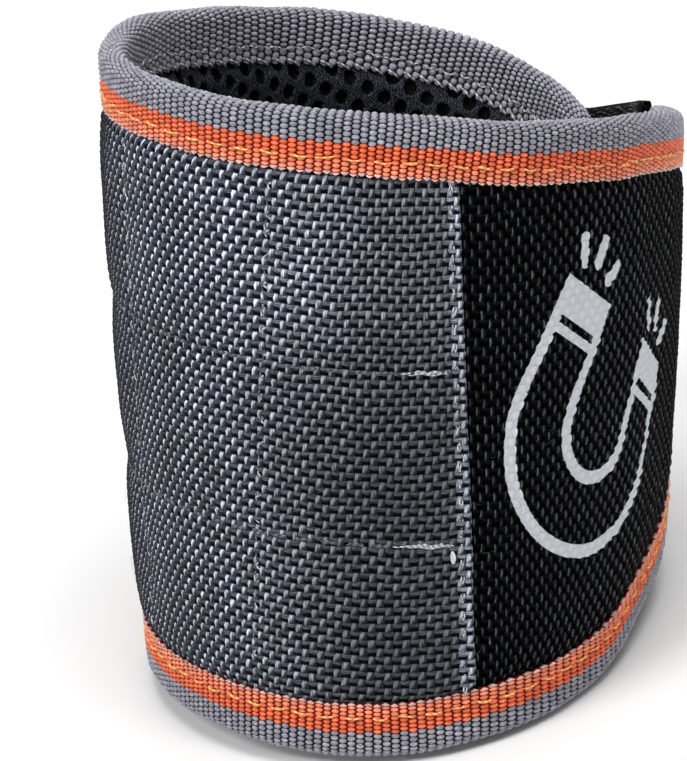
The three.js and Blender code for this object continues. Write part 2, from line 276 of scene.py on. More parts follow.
# ---------------------------------------------------------------------------------------------
# Meshes
# ---------------------------------------------------------------------------------------------
def new_object(name, points, faces, attributes=None, uv=None, materials=(), slots=None):
    """points in mm; faces is a list of index arrays, each of one face size, or a list of lists."""
    points = np.asarray(points, float).reshape(-1, 3)
    groups = [np.asarray(f, np.int32) for f in faces if len(f)]
    me = bpy.data.meshes.new(name)
    me.vertices.add(len(points))
    me.vertices.foreach_set("co", (np.asarray(points, float) * MM).astype(np.float32).ravel())
    sizes = np.concatenate([np.full(len(g), g.shape[1], np.int32) for g in groups])
    loops = np.concatenate([g.ravel() for g in groups])
    me.loops.add(len(loops))
    me.loops.foreach_set("vertex_index", loops)
    me.polygons.add(len(sizes))
    me.polygons.foreach_set("loop_start", np.concatenate([[0], np.cumsum(sizes)[:-1]]).astype(np.int32))
    if slots is not None:
        me.polygons.foreach_set("material_index", np.asarray(slots, np.int32))
    me.polygons.foreach_set("use_smooth", np.ones(len(sizes), bool))
    for key, values in (attributes or {}).items():
        layer = me.attributes.new(key, "FLOAT_VECTOR", "POINT")
        layer.data.foreach_set("vector", np.asarray(values, np.float32).ravel())
    if uv is not None:
        layer = me.uv_layers.new(name="OFBake")
        layer.data.foreach_set("uv", np.asarray(uv, np.float32)[loops].ravel())
    me.update(calc_edges=True)
    ob = bpy.data.objects.new(name, me)
    bpy.context.scene.collection.objects.link(ob)
    for m in materials:
        me.materials.append(m)
    return ob


def slab(name, front, back, st, block, material, active=None, flip=False, uv_rows=1):
    """A closed sheet. front and back are grids of points (ni, nj, 3), alike in size. The front keeps every cell,
    and the back only one face for each block of cells. active says which blocks there are."""
    ni, nj = front.shape[:2]
    bi, bj = block
    mi, mj = (ni - 1) // bi, (nj - 1) // bj
    assert (ni - 1) % bi == 0 and (nj - 1) % bj == 0, name
    if active is None:
        active = np.ones((mi, mj), bool)
    cell = np.repeat(np.repeat(active, bi, 0), bj, 1)
    q = quads_of(ni, nj)[cell.ravel()]
    # the vertices that the back uses: the blocks' corners and the whole rim
    pad = np.pad(active, 1)
    need = np.zeros((ni, nj), bool)
    rims = []                                             # runs of front vertices, the sheet on their left
    polys = []
    for I in range(mi):
        for J in range(mj):
            if not active[I, J]:
                continue
            i0, i1, j0, j1 = I * bi, (I + 1) * bi, J * bj, (J + 1) * bj
            sides = [
                ([(i, j0) for i in range(i0, i1)], pad[I + 1, J]),
                ([(i1, j) for j in range(j0, j1)], pad[I + 2, J + 1]),
                ([(i, j1) for i in range(i1, i0, -1)], pad[I + 1, J + 2]),
                ([(i0, j) for j in range(j1, j0, -1)], pad[I, J + 1]),
            ]
            ring = []
            for n, (run, beside) in enumerate(sides):
                ring += run[:1] if beside else run
                if not beside:
                    end = sides[(n + 1) % 4][0][0]
                    rims.append(run + [end])
            polys.append(ring)
            for p in ring:
                need[p] = True
    for run in rims:
        for p in run:
            need[p] = True
    used_front = np.zeros(ni * nj, bool)
    used_front[q.ravel()] = True
    front_id = np.cumsum(used_front) - 1
    n_front = int(used_front.sum())
    flat_need = need.ravel()
    back_id = np.cumsum(flat_need) - 1 + n_front
    points = np.concatenate([front.reshape(-1, 3)[used_front], back.reshape(-1, 3)[flat_need]])
    st = np.concatenate([st.reshape(-1, 3)[used_front], st.reshape(-1, 3)[flat_need]])
    gi, gj = np.meshgrid(np.arange(ni) / (ni - 1), np.arange(nj) / (nj - 1), indexing="ij")
    uv = np.stack([gi, gj], -1).reshape(-1, 2)
    # the front fills nearly all of the map, and the back lies in a thin strip beside it
    uv_front, uv_back = uv * (0.94, 1.0), uv * (0.05, 1.0) + (0.95, 0)
    uv = np.concatenate([uv_front[used_front], uv_back[flat_need]])
    faces = [front_id[q][:, ::-1] if flip else front_id[q]]
    by_size = {}
    for ring in polys:
        ids = [int(back_id[i * nj + j]) for i, j in ring][::-1]
        by_size.setdefault(len(ids), []).append(ids[::-1] if flip else ids)
    skirt = []
    for run in rims:
        for (ia, ja), (ib, jb) in zip(run, run[1:]):
            a, b = front_id[ia * nj + ja], front_id[ib * nj + jb]
            c, d = back_id[ib * nj + jb], back_id[ia * nj + ja]
            skirt.append([b, a, d, c] if not flip else [a, b, c, d])
    faces += [by_size[k] for k in sorted(by_size)] + [skirt]
    return new_object(name, points, faces, {"st": st}, uv, [material])


def tubes(name, paths, radii, sides, material, frames=None, caps=True, seeds=None):
    """Closed round threads, one for each path (k, n, 3) in mm. radii is (k, n) or one number."""
    paths = np.asarray(paths, float)
    k, n = paths.shape[:2]
    radii = np.broadcast_to(np.asarray(radii, float), (k, n))
    along = np.gradient(paths, axis=1)
    along /= np.maximum(np.linalg.norm(along, axis=2, keepdims=True), 1e-9)
    ref = np.array([0.31, 0.22, 0.92]) if frames is None else frames
    side = np.cross(along, np.broadcast_to(ref, along.shape))
    side /= np.maximum(np.linalg.norm(side, axis=2, keepdims=True), 1e-9)
    up = np.cross(side, along)
    turn = 2 * PI * np.arange(sides) / sides
    ring = side[:, :, None] * np.cos(turn)[None, None, :, None] + up[:, :, None] * np.sin(turn)[None, None, :, None]
    points = paths[:, :, None] + ring * radii[:, :, None, None]
    length = np.concatenate([np.zeros((k, 1)), np.cumsum(np.linalg.norm(np.diff(paths, axis=1), axis=2), 1)], 1)
    seeds = np.arange(k) * 0.617 if seeds is None else seeds
    st = np.stack([
        np.broadcast_to(length[:, :, None], (k, n, sides)),
        np.broadcast_to(turn[None, None], (k, n, sides)),
        np.broadcast_to(np.asarray(seeds)[:, None, None], (k, n, sides)),
    ], -1)
    a = np.arange(n - 1)[:, None] * sides + np.arange(sides)[None]
    b = np.arange(n - 1)[:, None] * sides + (np.arange(sides)[None] + 1) % sides
    one = np.stack([a, b, b + sides, a + sides], -1).reshape(-1, 4)
    start = (np.arange(k) * n * sides)[:, None, None]
    quads = (one[None] + start).reshape(-1, 4)
    faces = [quads]
    if caps:
        first = np.arange(sides)[::-1]
        last = (n - 1) * sides + np.arange(sides)
        faces += [(np.stack([first, last])[None] + start).reshape(-1, sides)]
    points = points.reshape(-1, 3)
    uv = np.stack([
        (np.arange(k) / k)[:, None, None] + turn[None, None] / (2 * PI) * 0.9 / k + 0 * length[:, :, None],
        np.broadcast_to(np.linspace(0, 1, n)[None, :, None], (k, n, sides)),
    ], -1).reshape(-1, 2)
    return new_object(name, points, faces, {"st": st.reshape(-1, 3)}, uv, [material])


# ---------------------------------------------------------------------------------------------
# Materials, all from nodes
# ---------------------------------------------------------------------------------------------
class V:
    """A number in a node tree, with the usual signs."""

    def __init__(self, tree, socket):
        self.t, self.s = tree, socket

    def __add__(self, o):
        return self.t.math("ADD", self, o)

    __radd__ = __add__

    def __sub__(self, o):
        return self.t.math("SUBTRACT", self, o)

    def __rsub__(self, o):
        return self.t.math("SUBTRACT", o, self)

    def __mul__(self, o):
        return self.t.math("MULTIPLY", self, o)

    __rmul__ = __mul__

    def __truediv__(self, o):
        return self.t.math("DIVIDE", self, o)

    def __rtruediv__(self, o):
        return self.t.math("DIVIDE", o, self)


class Tree:
    def __init__(self, name):
        self.mat = bpy.data.materials.new(name)
        self.mat.use_nodes = True
        self.nodes, self.links = self.mat.node_tree.nodes, self.mat.node_tree.links
        self.bsdf = next(n for n in self.nodes if n.type == "BSDF_PRINCIPLED")

    def put(self, socket, value):
        if isinstance(value, V):
            self.links.new(value.s, socket)
        elif isinstance(value, bpy.types.NodeSocket):
            self.links.new(value, socket)
        elif isinstance(value, (tuple, list)) and len(value) == 3 and len(socket.default_value) == 4:
            socket.default_value = (*value, 1)
        else:
            socket.default_value = value

    def math(self, op, a, b=None, c=None, clamp=False):
        n = self.nodes.new("ShaderNodeMath")
        n.operation, n.use_clamp = op, clamp
        for i, x in enumerate((a, b, c)):
            if x is not None:
                self.put(n.inputs[i], x)
        return V(self, n.outputs[0])

    def floor(self, a):
        return self.math("FLOOR", a)

    def frac(self, a):
        return self.math("FRACT", a)

    def abs(self, a):
        return self.math("ABSOLUTE", a)

    def max(self, a, b):
        return self.math("MAXIMUM", a, b)

    def min(self, a, b):
        return self.math("MINIMUM", a, b)

    def sqrt(self, a):
        return self.math("SQRT", self.max(a, 0.0))

    def cos(self, a):
        return self.math("COSINE", a)

    def sin(self, a):
        return self.math("SINE", a)

    def above(self, a, b):
        return self.math("GREATER_THAN", a, b)

    def step(self, x, a, b, low=0.0, high=1.0):
        n = self.nodes.new("ShaderNodeMapRange")
        n.interpolation_type = "SMOOTHSTEP"
        for key, value in (("Value", x), ("From Min", a), ("From Max", b), ("To Min", low), ("To Max", high)):
            self.put(n.inputs[key], value)
        return V(self, n.outputs["Result"])

    def st(self):
        a = self.nodes.new("ShaderNodeAttribute")
        a.attribute_name = "st"
        x = self.nodes.new("ShaderNodeSeparateXYZ")
        self.links.new(a.outputs["Vector"], x.inputs[0])
        return tuple(V(self, o) for o in x.outputs)

    def vec(self, x=0.0, y=0.0, z=0.0):
        n = self.nodes.new("ShaderNodeCombineXYZ")
        for i, v in enumerate((x, y, z)):
            self.put(n.inputs[i], v)
        return V(self, n.outputs[0])

    def position(self):
        n = self.nodes.new("ShaderNodeTexCoord")
        return V(self, n.outputs["Object"])

    def noise(self, vector, scale=1.0, detail=2.0, rough=0.5, dims="3D"):
        n = self.nodes.new("ShaderNodeTexNoise")
        n.noise_dimensions = dims
        self.put(n.inputs["Vector"], vector)
        self.put(n.inputs["Scale"], scale)
        self.put(n.inputs["Detail"], detail)
        self.put(n.inputs["Roughness"], rough)
        return V(self, n.outputs["Fac"] if "Fac" in n.outputs else n.outputs[0])

    def white(self, vector):
        n = self.nodes.new("ShaderNodeTexWhiteNoise")
        n.noise_dimensions = "3D"
        self.put(n.inputs["Vector"], vector)
        return V(self, n.outputs["Value"])

    def mix(self, fac, a, b):
        n = self.nodes.new("ShaderNodeMix")
        n.data_type = "RGBA"
        sockets = [i for i in n.inputs if i.type == "RGBA"]
        self.put(n.inputs[0], fac)
        self.put(sockets[0], a)
        self.put(sockets[1], b)
        return V(self, next(o for o in n.outputs if o.type == "RGBA"))

    def scale(self, colour, by):
        n = self.nodes.new("ShaderNodeVectorMath")
        n.operation = "SCALE"
        self.put(n.inputs[0], colour)
        self.put(n.inputs["Scale"], by)
        return V(self, n.outputs[0])

    def bump(self, height, distance, strength=1.0):
        n = self.nodes.new("ShaderNodeBump")
        self.put(n.inputs["Height"], height)
        n.inputs["Distance"].default_value = distance * MM
        n.inputs["Strength"].default_value = strength
        self.links.new(n.outputs[0], self.bsdf.inputs["Normal"])

    def set(self, **values):
        for key, value in values.items():
            self.put(self.bsdf.inputs[key.replace("_", " ")], value)
        return self.mat


def srgb(r, g, b):
    """A colour as a paint program shows it, as the shader's own numbers."""
    def one(c):
        c = c / 255
        return c / 12.92 if c <= 0.04045 else ((c + 0.055) / 1.055) ** 2.4
    return (one(r), one(g), one(b))


# -- the ribbed edge tape: st = (column, row, 0) in counts of its beads ------------------------
BEAD_U, BEAD_V, BEAD_P = 0.475, 0.495, 2.15


def bead_numbers(column, row):
    """Height, 0 to 1, of the ribbed tape's beads. Neighbouring columns are half a bead apart."""
    c = np.floor(column + 0.5)
    u = np.abs(column - c)
    v = np.abs(np.mod(row + 0.5 * np.mod(c, 2), 1) - 0.5)
    bead = np.sqrt(np.clip(1 - (u / BEAD_U) ** BEAD_P - (v / BEAD_V) ** BEAD_P, 0, 1))
    rib = 0.22 * np.sqrt(np.clip(1 - (u / 0.40) ** 2, 0, 1))
    return np.maximum(bead, rib)


def tape_material():
    t = Tree("edge_tape")
    column, row, _ = t.st()
    c = t.floor(column + 0.5)
    u = column - c
    odd = t.frac(c * 0.5) * 2.0
    b = row + odd * 0.5
    index = t.floor(b)
    v = b - index - 0.5
    mid = index - odd * 0.5 + 0.5
    bead = t.sqrt(1.0 - t.math("POWER", t.abs(u) / BEAD_U, BEAD_P) - t.math("POWER", t.abs(v) / BEAD_V, BEAD_P))
    rnd = t.white(t.vec(c, mid, 3.0))
    rnd2 = t.white(t.vec(c, mid, 9.0))
    filament = t.noise(t.vec(column * 1.6, row * 6.0, c), 1.0, 3.0, 0.65)
    fine = t.noise(t.vec(column * 3.0, row * 24.0, c), 1.0, 2.0, 0.5)
    # painted highlight: small bright glints, mixed onto the tops of the beads below
    painted_glint = t.step(t.noise(t.vec(column * 4.2, row * 3.4, 5.0), 1.0, 2.0, 0.6), 0.56, 0.70)
    blotch = t.noise(t.vec(column * 0.07, row * 0.16, 0.0), 1.0, 2.0)
    glow = t.step(filament, 0.34, 0.66)
    grey = t.mix(glow, srgb(120, 119, 130), srgb(178, 176, 187))
    orange = t.mix(glow, srgb(222, 84, 42), srgb(250, 132, 86))
    peach = t.mix(glow, srgb(236, 116, 78), srgb(255, 172, 134))
    pale = t.mix(glow, srgb(196, 150, 140), srgb(238, 212, 206))
    near = t.step(row, 1.6, 4.4)
    body = t.mix(near, peach, orange)
    is_orange = t.above(7.0, mid)
    colour = t.mix(is_orange, grey, body)
    # the colour of the painted glints, a painted highlight
    painted_glint_colour = t.mix(is_orange, srgb(232, 232, 240), srgb(255, 206, 172))
    colour = t.mix(t.above(0.9, mid), colour, pale)
    colour = t.mix(painted_glint * t.step(bead, 0.55, 0.85) * (0.20 + rnd2 * 0.65), colour, painted_glint_colour)
    # painted shade: each bead darkens towards its rim, and the gaps between beads are painted darkest
    rim = t.mix(is_orange, srgb(78, 79, 92), srgb(186, 52, 18))
    gap = t.mix(is_orange, srgb(30, 32, 42), srgb(130, 22, 3))
    colour = t.mix(t.step(bead, 0.22, 0.66), rim, colour)
    colour = t.mix(t.step(bead, 0.02, 0.28), gap, colour)
    shade = 0.74 + rnd * 0.36 + (blotch - 0.5) * 0.34 + fine * 0.08
    colour = t.scale(colour, shade)
    t.bump(filament * 0.22 + fine * 0.07 + bead * 0.20, 0.35, 0.7)
    solid = t.step(bead, 0.1, 0.6)
    return t.set(Base_Color=colour, Roughness=0.78 - solid * 0.36 + rnd2 * 0.10, Specular_IOR_Level=0.08 + solid * 0.42)


# -- plain weave of flat yarns: st = (yarn, row, ink or painted light), the first two in counts of yarns ---
WEAVES = {
    # pitch along s and z, half widths of the standing and lying yarns in pitches, heights in mm
    "charcoal": dict(ps=0.94, pz=1.235, pitch=((-90, 0.72), (-70, 0.72), (-50, 0.78), (-35, 0.85), (-20, 0.95), (-5, 1.03), (10, 1.08), (25, 1.08)), wu=0.49, wv=0.54, hu=0.31, hv=0.26, wave=0.21, base=0.12, tilt=0.17),
    "black": dict(ps=1.25, pz=1.27, pitch=((-220, 1.25), (0, 1.0), (17, 0.96), (24, 1.0), (35, 1.10), (45, 1.25), (55, 1.42), (65, 1.50), (110, 1.45)),
                  wu=0.33, wv=0.54, hu=0.20, hv=0.30, wave=0.22, base=0.12, tilt=0.08),
    "webbing": dict(ps=1.0, pz=1.5, wu=0.42, wv=0.54, hu=0.16, hv=0.24, wave=0.18, base=0.06, tilt=0.0),
}


def yarn_scale(w):
    """Stations along the band, and how many standing yarns there are from s 0 to each."""
    s = np.arange(-225, 125, 0.25)
    at, pitch = np.array(w["pitch"]).T
    n = np.concatenate([[0], np.cumsum(0.25 / np.interp(s[1:] - 0.125, at, pitch))])
    return s, n - np.interp(0, s, n)


def weave_numbers(x, y, w):
    i, j = np.floor(x + 0.5), np.floor(y + 0.5)
    u, v = x - i, y - j
    lying = w["base"] + w["hv"] * np.sqrt(np.clip(1 - (v / w["wv"]) ** 2, 0, 1)) + w["wave"] * np.cos(PI * (x + j)) + w["tilt"] * v * 2
    standing = w["hu"] * np.sqrt(np.clip(1 - (u / w["wu"]) ** 2, 0, 1)) - w["wave"] * np.cos(PI * (y + i))
    standing = np.where(np.abs(u) < w["wu"], standing, -1)
    return np.maximum(lying, standing)


def weave_material(name, w, lying, painted_crest_light, standing, painted_flank_light, gap, ink=None, rough=0.5, spec=0.5, gloss=0.5, seam=None, turn=(-0.10, 0.42), side=(-0.25, 0.75), uneven=0.24, edge=(1.0, 0.62), shaded=None, rising=0.0):
    """In order, the colours are the lying yarn's body, the painted light on its upper side, the upright yarn's body,
    the painted light on its left side, and the painted shade at the yarns' edges and where they dive under one another."""
    t = Tree(name)
    x, y, ink_or_painted_light = t.st()
    i, j = t.floor(x + 0.5), t.floor(y + 0.5)
    u, v = x - i, y - j
    top_l = t.sqrt(1.0 - t.math("POWER", t.abs(v / w["wv"]), 2.0))
    top_s = t.sqrt(1.0 - t.math("POWER", t.abs(u / w["wu"]), 2.0))
    dive_l, dive_s = t.cos((x + j) * PI), t.cos((y + i) * PI) * -1.0
    hl = top_l * w["hv"] + dive_l * w["wave"] + v * (2 * w["tilt"]) + w["base"]
    hs = top_s * w["hu"] + dive_s * w["wave"]
    hs = hs - t.above(t.abs(u), w["wu"])
    up = t.above(hs, hl)                                    # 1 where a standing yarn is on top
    h = t.max(hl, hs)
    top = w["hv"] + w["wave"] + w["base"]
    rnd = t.white(t.vec(i * up, j * (1.0 - up) + up * 77.0, 1.0))
    each = t.white(t.vec(i, j, 2.0))
    fl = t.noise(t.vec(x * 1.0, y * 9.0, j * 3.1), 1.0, 3.0, 0.65)
    fs = t.noise(t.vec(x * 9.0, y * 0.9, i * 2.7), 1.0, 3.0, 0.65)
    fil = fl + (fs - fl) * up
    streak = t.step(fil, 0.30, 0.72)
    cloud = t.noise(t.vec(x * 0.055, y * 0.075, 4.0), 1.0, 3.0)
    wear = t.noise(t.vec(x * 0.23, y * 0.3, 8.0), 1.0, 3.0)
    # painted light: lit_l marks the lying yarns' upper parts and lit_s the standing yarns' left sides, set by turn,
    # side and rising
    lit_l = t.step(v + (fil - 0.5) * 0.6, turn[0], turn[1])
    lit_s = t.step(v * rising - u / w["wu"] + (fil - 0.5) * 1.3, side[0], side[1])
    # painted shade: left of the shaded range the lying yarns keep only a seventh of their painted light
    lean = 1.0 if shaded is None else t.step(x, shaded[0], shaded[1], 0.14, 1.0)
    body_l = t.mix(lit_l * (0.22 + streak * 0.78) * lean, lying, painted_crest_light)
    body_s = t.mix(lit_s * (0.35 + streak * 0.65), standing, painted_flank_light)
    yarn = t.mix(up, body_l, body_s)
    # painted shade: the colour goes to gap at the yarns' edges and where they dive under one another; edge sets how far
    # in from a standing yarn's sides this starts
    solid_l = t.step(dive_l, -0.75, 0.10) * t.step(v, -0.52, -0.30) * t.step(v, 0.53, 0.45)
    solid_s = t.step(dive_s, -0.35, 0.45) * t.step(t.abs(u / w["wu"]), edge[0], edge[1])
    solid = solid_l + (solid_s - solid_l) * up
    shade = (0.86 - uneven * 0.5 + rnd * 0.22 + each * uneven) * (0.62 + cloud * 0.76) * (0.80 + streak * 0.38)
    # painted shade and light: for the charcoal, the third st channel times seam darkens or brightens the colour across
    # the panel
    if seam is not None:
        shade = shade * (1.0 + ink_or_painted_light * seam)
    colour = t.mix(solid, gap, t.scale(yarn, shade))
    roughness = rough + (1.0 - solid) * 0.3 + (fil - 0.5) * 0.22 + (wear - 0.5) * 0.16
    lit = lit_l * lean + (lit_s - lit_l * lean) * up
    level = spec * 0.12 + solid * lit * spec * 0.88 + up * gloss
    if ink is not None:
        cover = t.step(ink_or_painted_light + (h / top - 0.5) * 0.05 + (fil - 0.5) * 0.06, -0.05, 0.05)
        worn = t.step(wear + (h / top) * 0.5, 0.34, 0.60)
        shade_ink = (0.80 + h / top * 0.22 + (fil - 0.5) * 0.12) * (0.80 + worn * 0.20)
        colour = t.mix(cover, colour, t.scale(t.mix(wear, ink, tuple(c * 0.86 for c in ink)), shade_ink))
        roughness = roughness + (0.58 - roughness) * cover
        level = level + (0.25 - level) * cover
    t.bump(fil * 0.20 + h * 0.5, 0.30, 0.7)
    t.set(Base_Color=colour, Roughness=roughness, Specular_IOR_Level=level)
    return t.mat


def thread_material(name, a, b, rough=0.45, plies=1.0, spec=0.4):
    t = Tree(name)
    along, turn, seed = t.st()
    twist = t.sin(along * (2 * PI * plies) + turn * 2.0 + seed * 5.0)
    fil = t.noise(t.vec(along * 6.0 + turn * 1.2, turn * 5.0, seed), 1.0, 2.0, 0.6)
    # painted shade and highlight: the colour runs from a in the grooves between the plies to b on their crests
    colour = t.mix(t.step(twist * 0.5 + 0.5 + (fil - 0.5) * 0.5, 0.15, 0.85), a, b)
    t.bump(twist * 0.5 + fil * 0.4, 0.10, 0.7)
    return t.set(Base_Color=colour, Roughness=rough + fil * 0.15, Specular_IOR_Level=spec)


def mesh_material():
    """Knitted spacer mesh: fine looped filaments, and painted shade in its holes, darker with depth. st = (s, z, depth)
    in mm.
    """
    t = Tree("air_mesh")
    s, z, deep = t.st()
    knit = t.sin(s * 11.0 + t.sin(z * 7.0) * 1.2) * t.sin(z * 9.0 + t.sin(s * 5.5) * 0.8)
    fil = t.noise(t.vec(s * 4.5, z * 1.6, 0.0), 1.0, 4.0, 0.7)
    fil2 = t.noise(t.vec(s * 1.9, z * 6.0, 3.0), 1.0, 3.0, 0.7)
    shade = t.step(fil * 0.6 + fil2 * 0.6 + knit * 0.10, 0.50, 0.86)
    colour = t.mix(shade, srgb(8, 9, 13), srgb(84, 86, 99))
    # painted shade: near black deeper in the holes
    colour = t.mix(t.step(deep, 0.05, 0.35), colour, (0.0008, 0.0008, 0.0011))
    t.bump(fil * 0.5 + fil2 * 0.4 + knit * 0.25, 0.30, 0.8)
    return t.set(Base_Color=colour, Roughness=0.62 + fil * 0.2, Specular_IOR_Level=0.03 + shade * 0.25)


def pile_material(name, dark, light, rough=0.7):
    t = Tree(name)
    s, z, _ = t.st()
    a = t.noise(t.vec(s * 1.6, z * 1.6, 0.0), 1.0, 4.0, 0.7)
    b = t.noise(t.vec(s * 5.5, z * 5.5, 5.0), 1.0, 3.0, 0.7)
    shade = t.step(a * 0.5 + b * 0.6, 0.36, 0.78)
    t.bump(a * 0.4 + b * 0.6, 0.30, 0.8)
    return t.set(Base_Color=t.mix(shade, dark, light), Roughness=rough + b * 0.2, Specular_IOR_Level=0.06 + shade * 0.2)


def foam_material():
    t = Tree("foam")
    p = t.position()
    v = t.nodes.new("ShaderNodeTexVoronoi")
    t.links.new(p.s, v.inputs["Vector"])
    v.inputs["Scale"].default_value = 1600
    cells = V(t, v.outputs["Distance"])
    big = t.noise(p, 260.0, 3.0)
    colour = t.mix(t.step(cells, 0.1, 0.6), srgb(34, 34, 36), srgb(74, 74, 76))
    t.bump(cells * 0.7 + big * 0.3, 0.25, 0.8)
    return t.set(Base_Color=t.scale(colour, 0.8 + big * 0.4), Roughness=0.9 + big * 0.05, Specular_IOR_Level=0.2)


def steel_material():
    t = Tree("magnet_steel")
    p = t.position()
    fine = t.noise(p, 900.0, 3.0)
    wide = t.noise(p, 90.0, 3.0)
    colour = t.mix(wide, srgb(176, 178, 182), srgb(206, 207, 208))
    t.bump(fine, 0.03, 0.35)
    return t.set(Base_Color=colour, Metallic=1.0, Roughness=0.22 + wide * 0.2 + fine * 0.06)


TAPE = tape_material()
CHARCOAL = weave_material("charcoal_weave", WEAVES["charcoal"], srgb(9, 11, 19), srgb(168, 173, 188), srgb(44, 48, 60),
                          srgb(214, 222, 236), srgb(1, 1.5, 4), rough=0.45, spec=0.26, gloss=0.11, seam=1.0, turn=(-0.06, 0.22), side=(-0.50, 0.55),
                          uneven=0.42, edge=(1.0, 0.84), shaded=tuple(float(n) for n in np.interp((-30, 26), *yarn_scale(WEAVES["charcoal"]))), rising=1.1)
BLACK = weave_material("black_weave", WEAVES["black"], srgb(2, 2, 3), srgb(17, 18, 21), srgb(9, 9, 11),
                       srgb(118, 121, 128), srgb(0.5, 0.5, 0.8), ink=srgb(216, 220, 226), rough=0.5, spec=0.05, gloss=0.05,
                       turn=(-0.05, 0.50), side=(0.0, 0.9), uneven=0.50)
WEBBING = weave_material("black_webbing", WEAVES["webbing"], srgb(5, 5, 6), srgb(26, 26, 29), srgb(12, 12, 14),
                         srgb(52, 53, 57), srgb(1, 1, 1.5), rough=0.5, spec=0.08, gloss=0.05)
MESH = mesh_material()
LOOP = pile_material("loop_pile", srgb(5, 5, 6), srgb(38, 38, 42))
HOOK = pile_material("hook_base", srgb(3, 3, 4), srgb(24, 24, 27))
FOAM = foam_material()
STEEL = steel_material()
THREAD_AMBER = thread_material("thread_amber", srgb(246, 146, 58), srgb(255, 218, 146))
THREAD_GREY = thread_material("thread_grey", srgb(122, 120, 128), srgb(214, 210, 214))
THREAD_DARK = thread_material("thread_dark", srgb(34, 35, 40), srgb(140, 142, 150))
THREAD_BLACK = thread_material("thread_black", srgb(20, 20, 22), srgb(86, 87, 92))
THREAD_PALE = thread_material("thread_pale", srgb(120, 122, 130), srgb(236, 238, 242), plies=1.2)
THREAD_KNOT = thread_material("thread_knot", srgb(196, 198, 203), srgb(240, 241, 243), plies=0.25)
FUZZ = thread_material("loose_fibre", srgb(58, 60, 68), srgb(120, 122, 130))
HOOK_FIBRE = thread_material("hook_fibre", srgb(9, 9, 11), srgb(92, 94, 101), rough=0.35, spec=0.5)
FIBRE = thread_material("pile_fibre", srgb(9, 9, 10), srgb(62, 63, 69), spec=0.3)

# ---------------------------------------------------------------------------------------------
# Edge tape
# ---------------------------------------------------------------------------------------------
def tape_section():
    """The tape's path across the edge: (e, d, ne, nd) at fine steps of length, and the steps' lengths."""
    e0, mid, half = 2.05, (TAPE_OUT + TAPE_IN) / 2, (TAPE_IN - TAPE_OUT) / 2
    a = np.linspace(0, PI, 181)
    fold = np.stack([e0 * (1 - np.abs(np.sin(a)) ** 0.92), mid - (half + 0.12 * np.sin(a) ** 2) * np.cos(a)], 1)
    out = np.stack([np.linspace(TAPE_EDGE, e0, 120, endpoint=False), np.full(120, TAPE_OUT)], 1)
    inn = np.stack([np.linspace(e0, TAPE_EDGE, 121)[1:], np.full(120, TAPE_IN)], 1)
    path = np.concatenate([out, fold, inn])
    step = np.linalg.norm(np.diff(path, axis=0), axis=1)
    t = np.concatenate([[0], np.cumsum(step)])
    fine = np.linspace(0, t[-1], 800)
    path = np.stack([np.interp(fine, t, path[:, k]) for k in range(2)], 1)
    kernel = np.ones(25) / 25
    pad = np.concatenate([path[:1].repeat(12, 0) - 0, path, path[-1:].repeat(12, 0)])
    soft = np.stack([np.convolve(pad[:, k], kernel, "valid") for k in range(2)], 1)
    blend = smooth(np.minimum(fine, fine[-1] - fine), 0.4, 1.2)[:, None]
    path = path * (1 - blend) + soft * blend
    g = np.gradient(path, axis=0)
    g /= np.linalg.norm(g, axis=1, keepdims=True)
    normal = np.stack([g[:, 1], -g[:, 0]], 1)      # out of the fold: depth shrinks outside, grows inside
    if normal[10, 1] > 0:
        normal = -normal
    return fine, path, normal


BEAD_RELIEF = 0.46
SEC_T, SEC_P, SEC_N = tape_section()
SEC_L = SEC_T[-1]
# rows of beads across the tape: a pale selvage, the orange stripe, the grey body and the inner selvage
ROW_T = np.array([0.0, 0.5, 4.55, SEC_L / 2, SEC_L - 2.4, SEC_L])
ROW_B = np.array([0.0, 1.0, 7.0, 7.0 + round((SEC_L / 2 - 4.55) / 0.76), 0.0, 0.0])
ROW_B[4] = ROW_B[3] + round((SEC_L / 2 - 2.4) / 0.88)
ROW_B[5] = ROW_B[4] + 2
ROWS = int(ROW_B[5])


def edge_line(top, s):
    """z of the band's edge, and its slope, the end corners rounded."""
    corner = 5.0
    def z(q):
        left = np.minimum(FLAP_END - q, q - TAIL_END)
        x = np.clip(corner - left, 0, corner)
        off = (corner - np.sqrt(np.maximum(corner**2 - x**2, 0))) * 0.55
        return high_edge(q) - off if top else low_edge(q) + off
    return z(s), (z(s + 0.05) - z(s - 0.05)) / 0.1


def edge_frame(top, s_list):
    z, slope = edge_line(top, s_list)
    slope = np.clip(slope, -0.42, 0.42)
    c = 1 / np.sqrt(1 + slope**2)
    n = np.stack([slope * c, -c], -1) if top else np.stack([-slope * c, c], -1)
    return z, n


# the tape is drawn tighter or looser along the band: the width of its columns in mm
COLUMN_AT, COLUMN_WIDE = np.array([
    (-215, 1.30), (-150, 1.27), (-137, 1.32), (-125, 1.52), (-112, 1.62), (-95, 1.68), (-80, 1.55), (-60, 1.32), (-40, 1.22),
    (0, 1.20), (15, 1.25), (30, 1.58), (55, 1.65), (75, 1.60), (95, 1.42), (107, 1.37),
]).T


def count_columns(top, line, z):
    """How many columns of beads there are from the first station of the line to each of its stations."""
    width = np.interp((line[1:] + line[:-1]) / 2, COLUMN_AT, COLUMN_WIDE) * (1.0 if top else 1.055)
    n = np.concatenate([[0], np.cumsum(np.hypot(np.diff(line), np.diff(z)) / width)])
    return n * round(n[-1]) / n[-1]


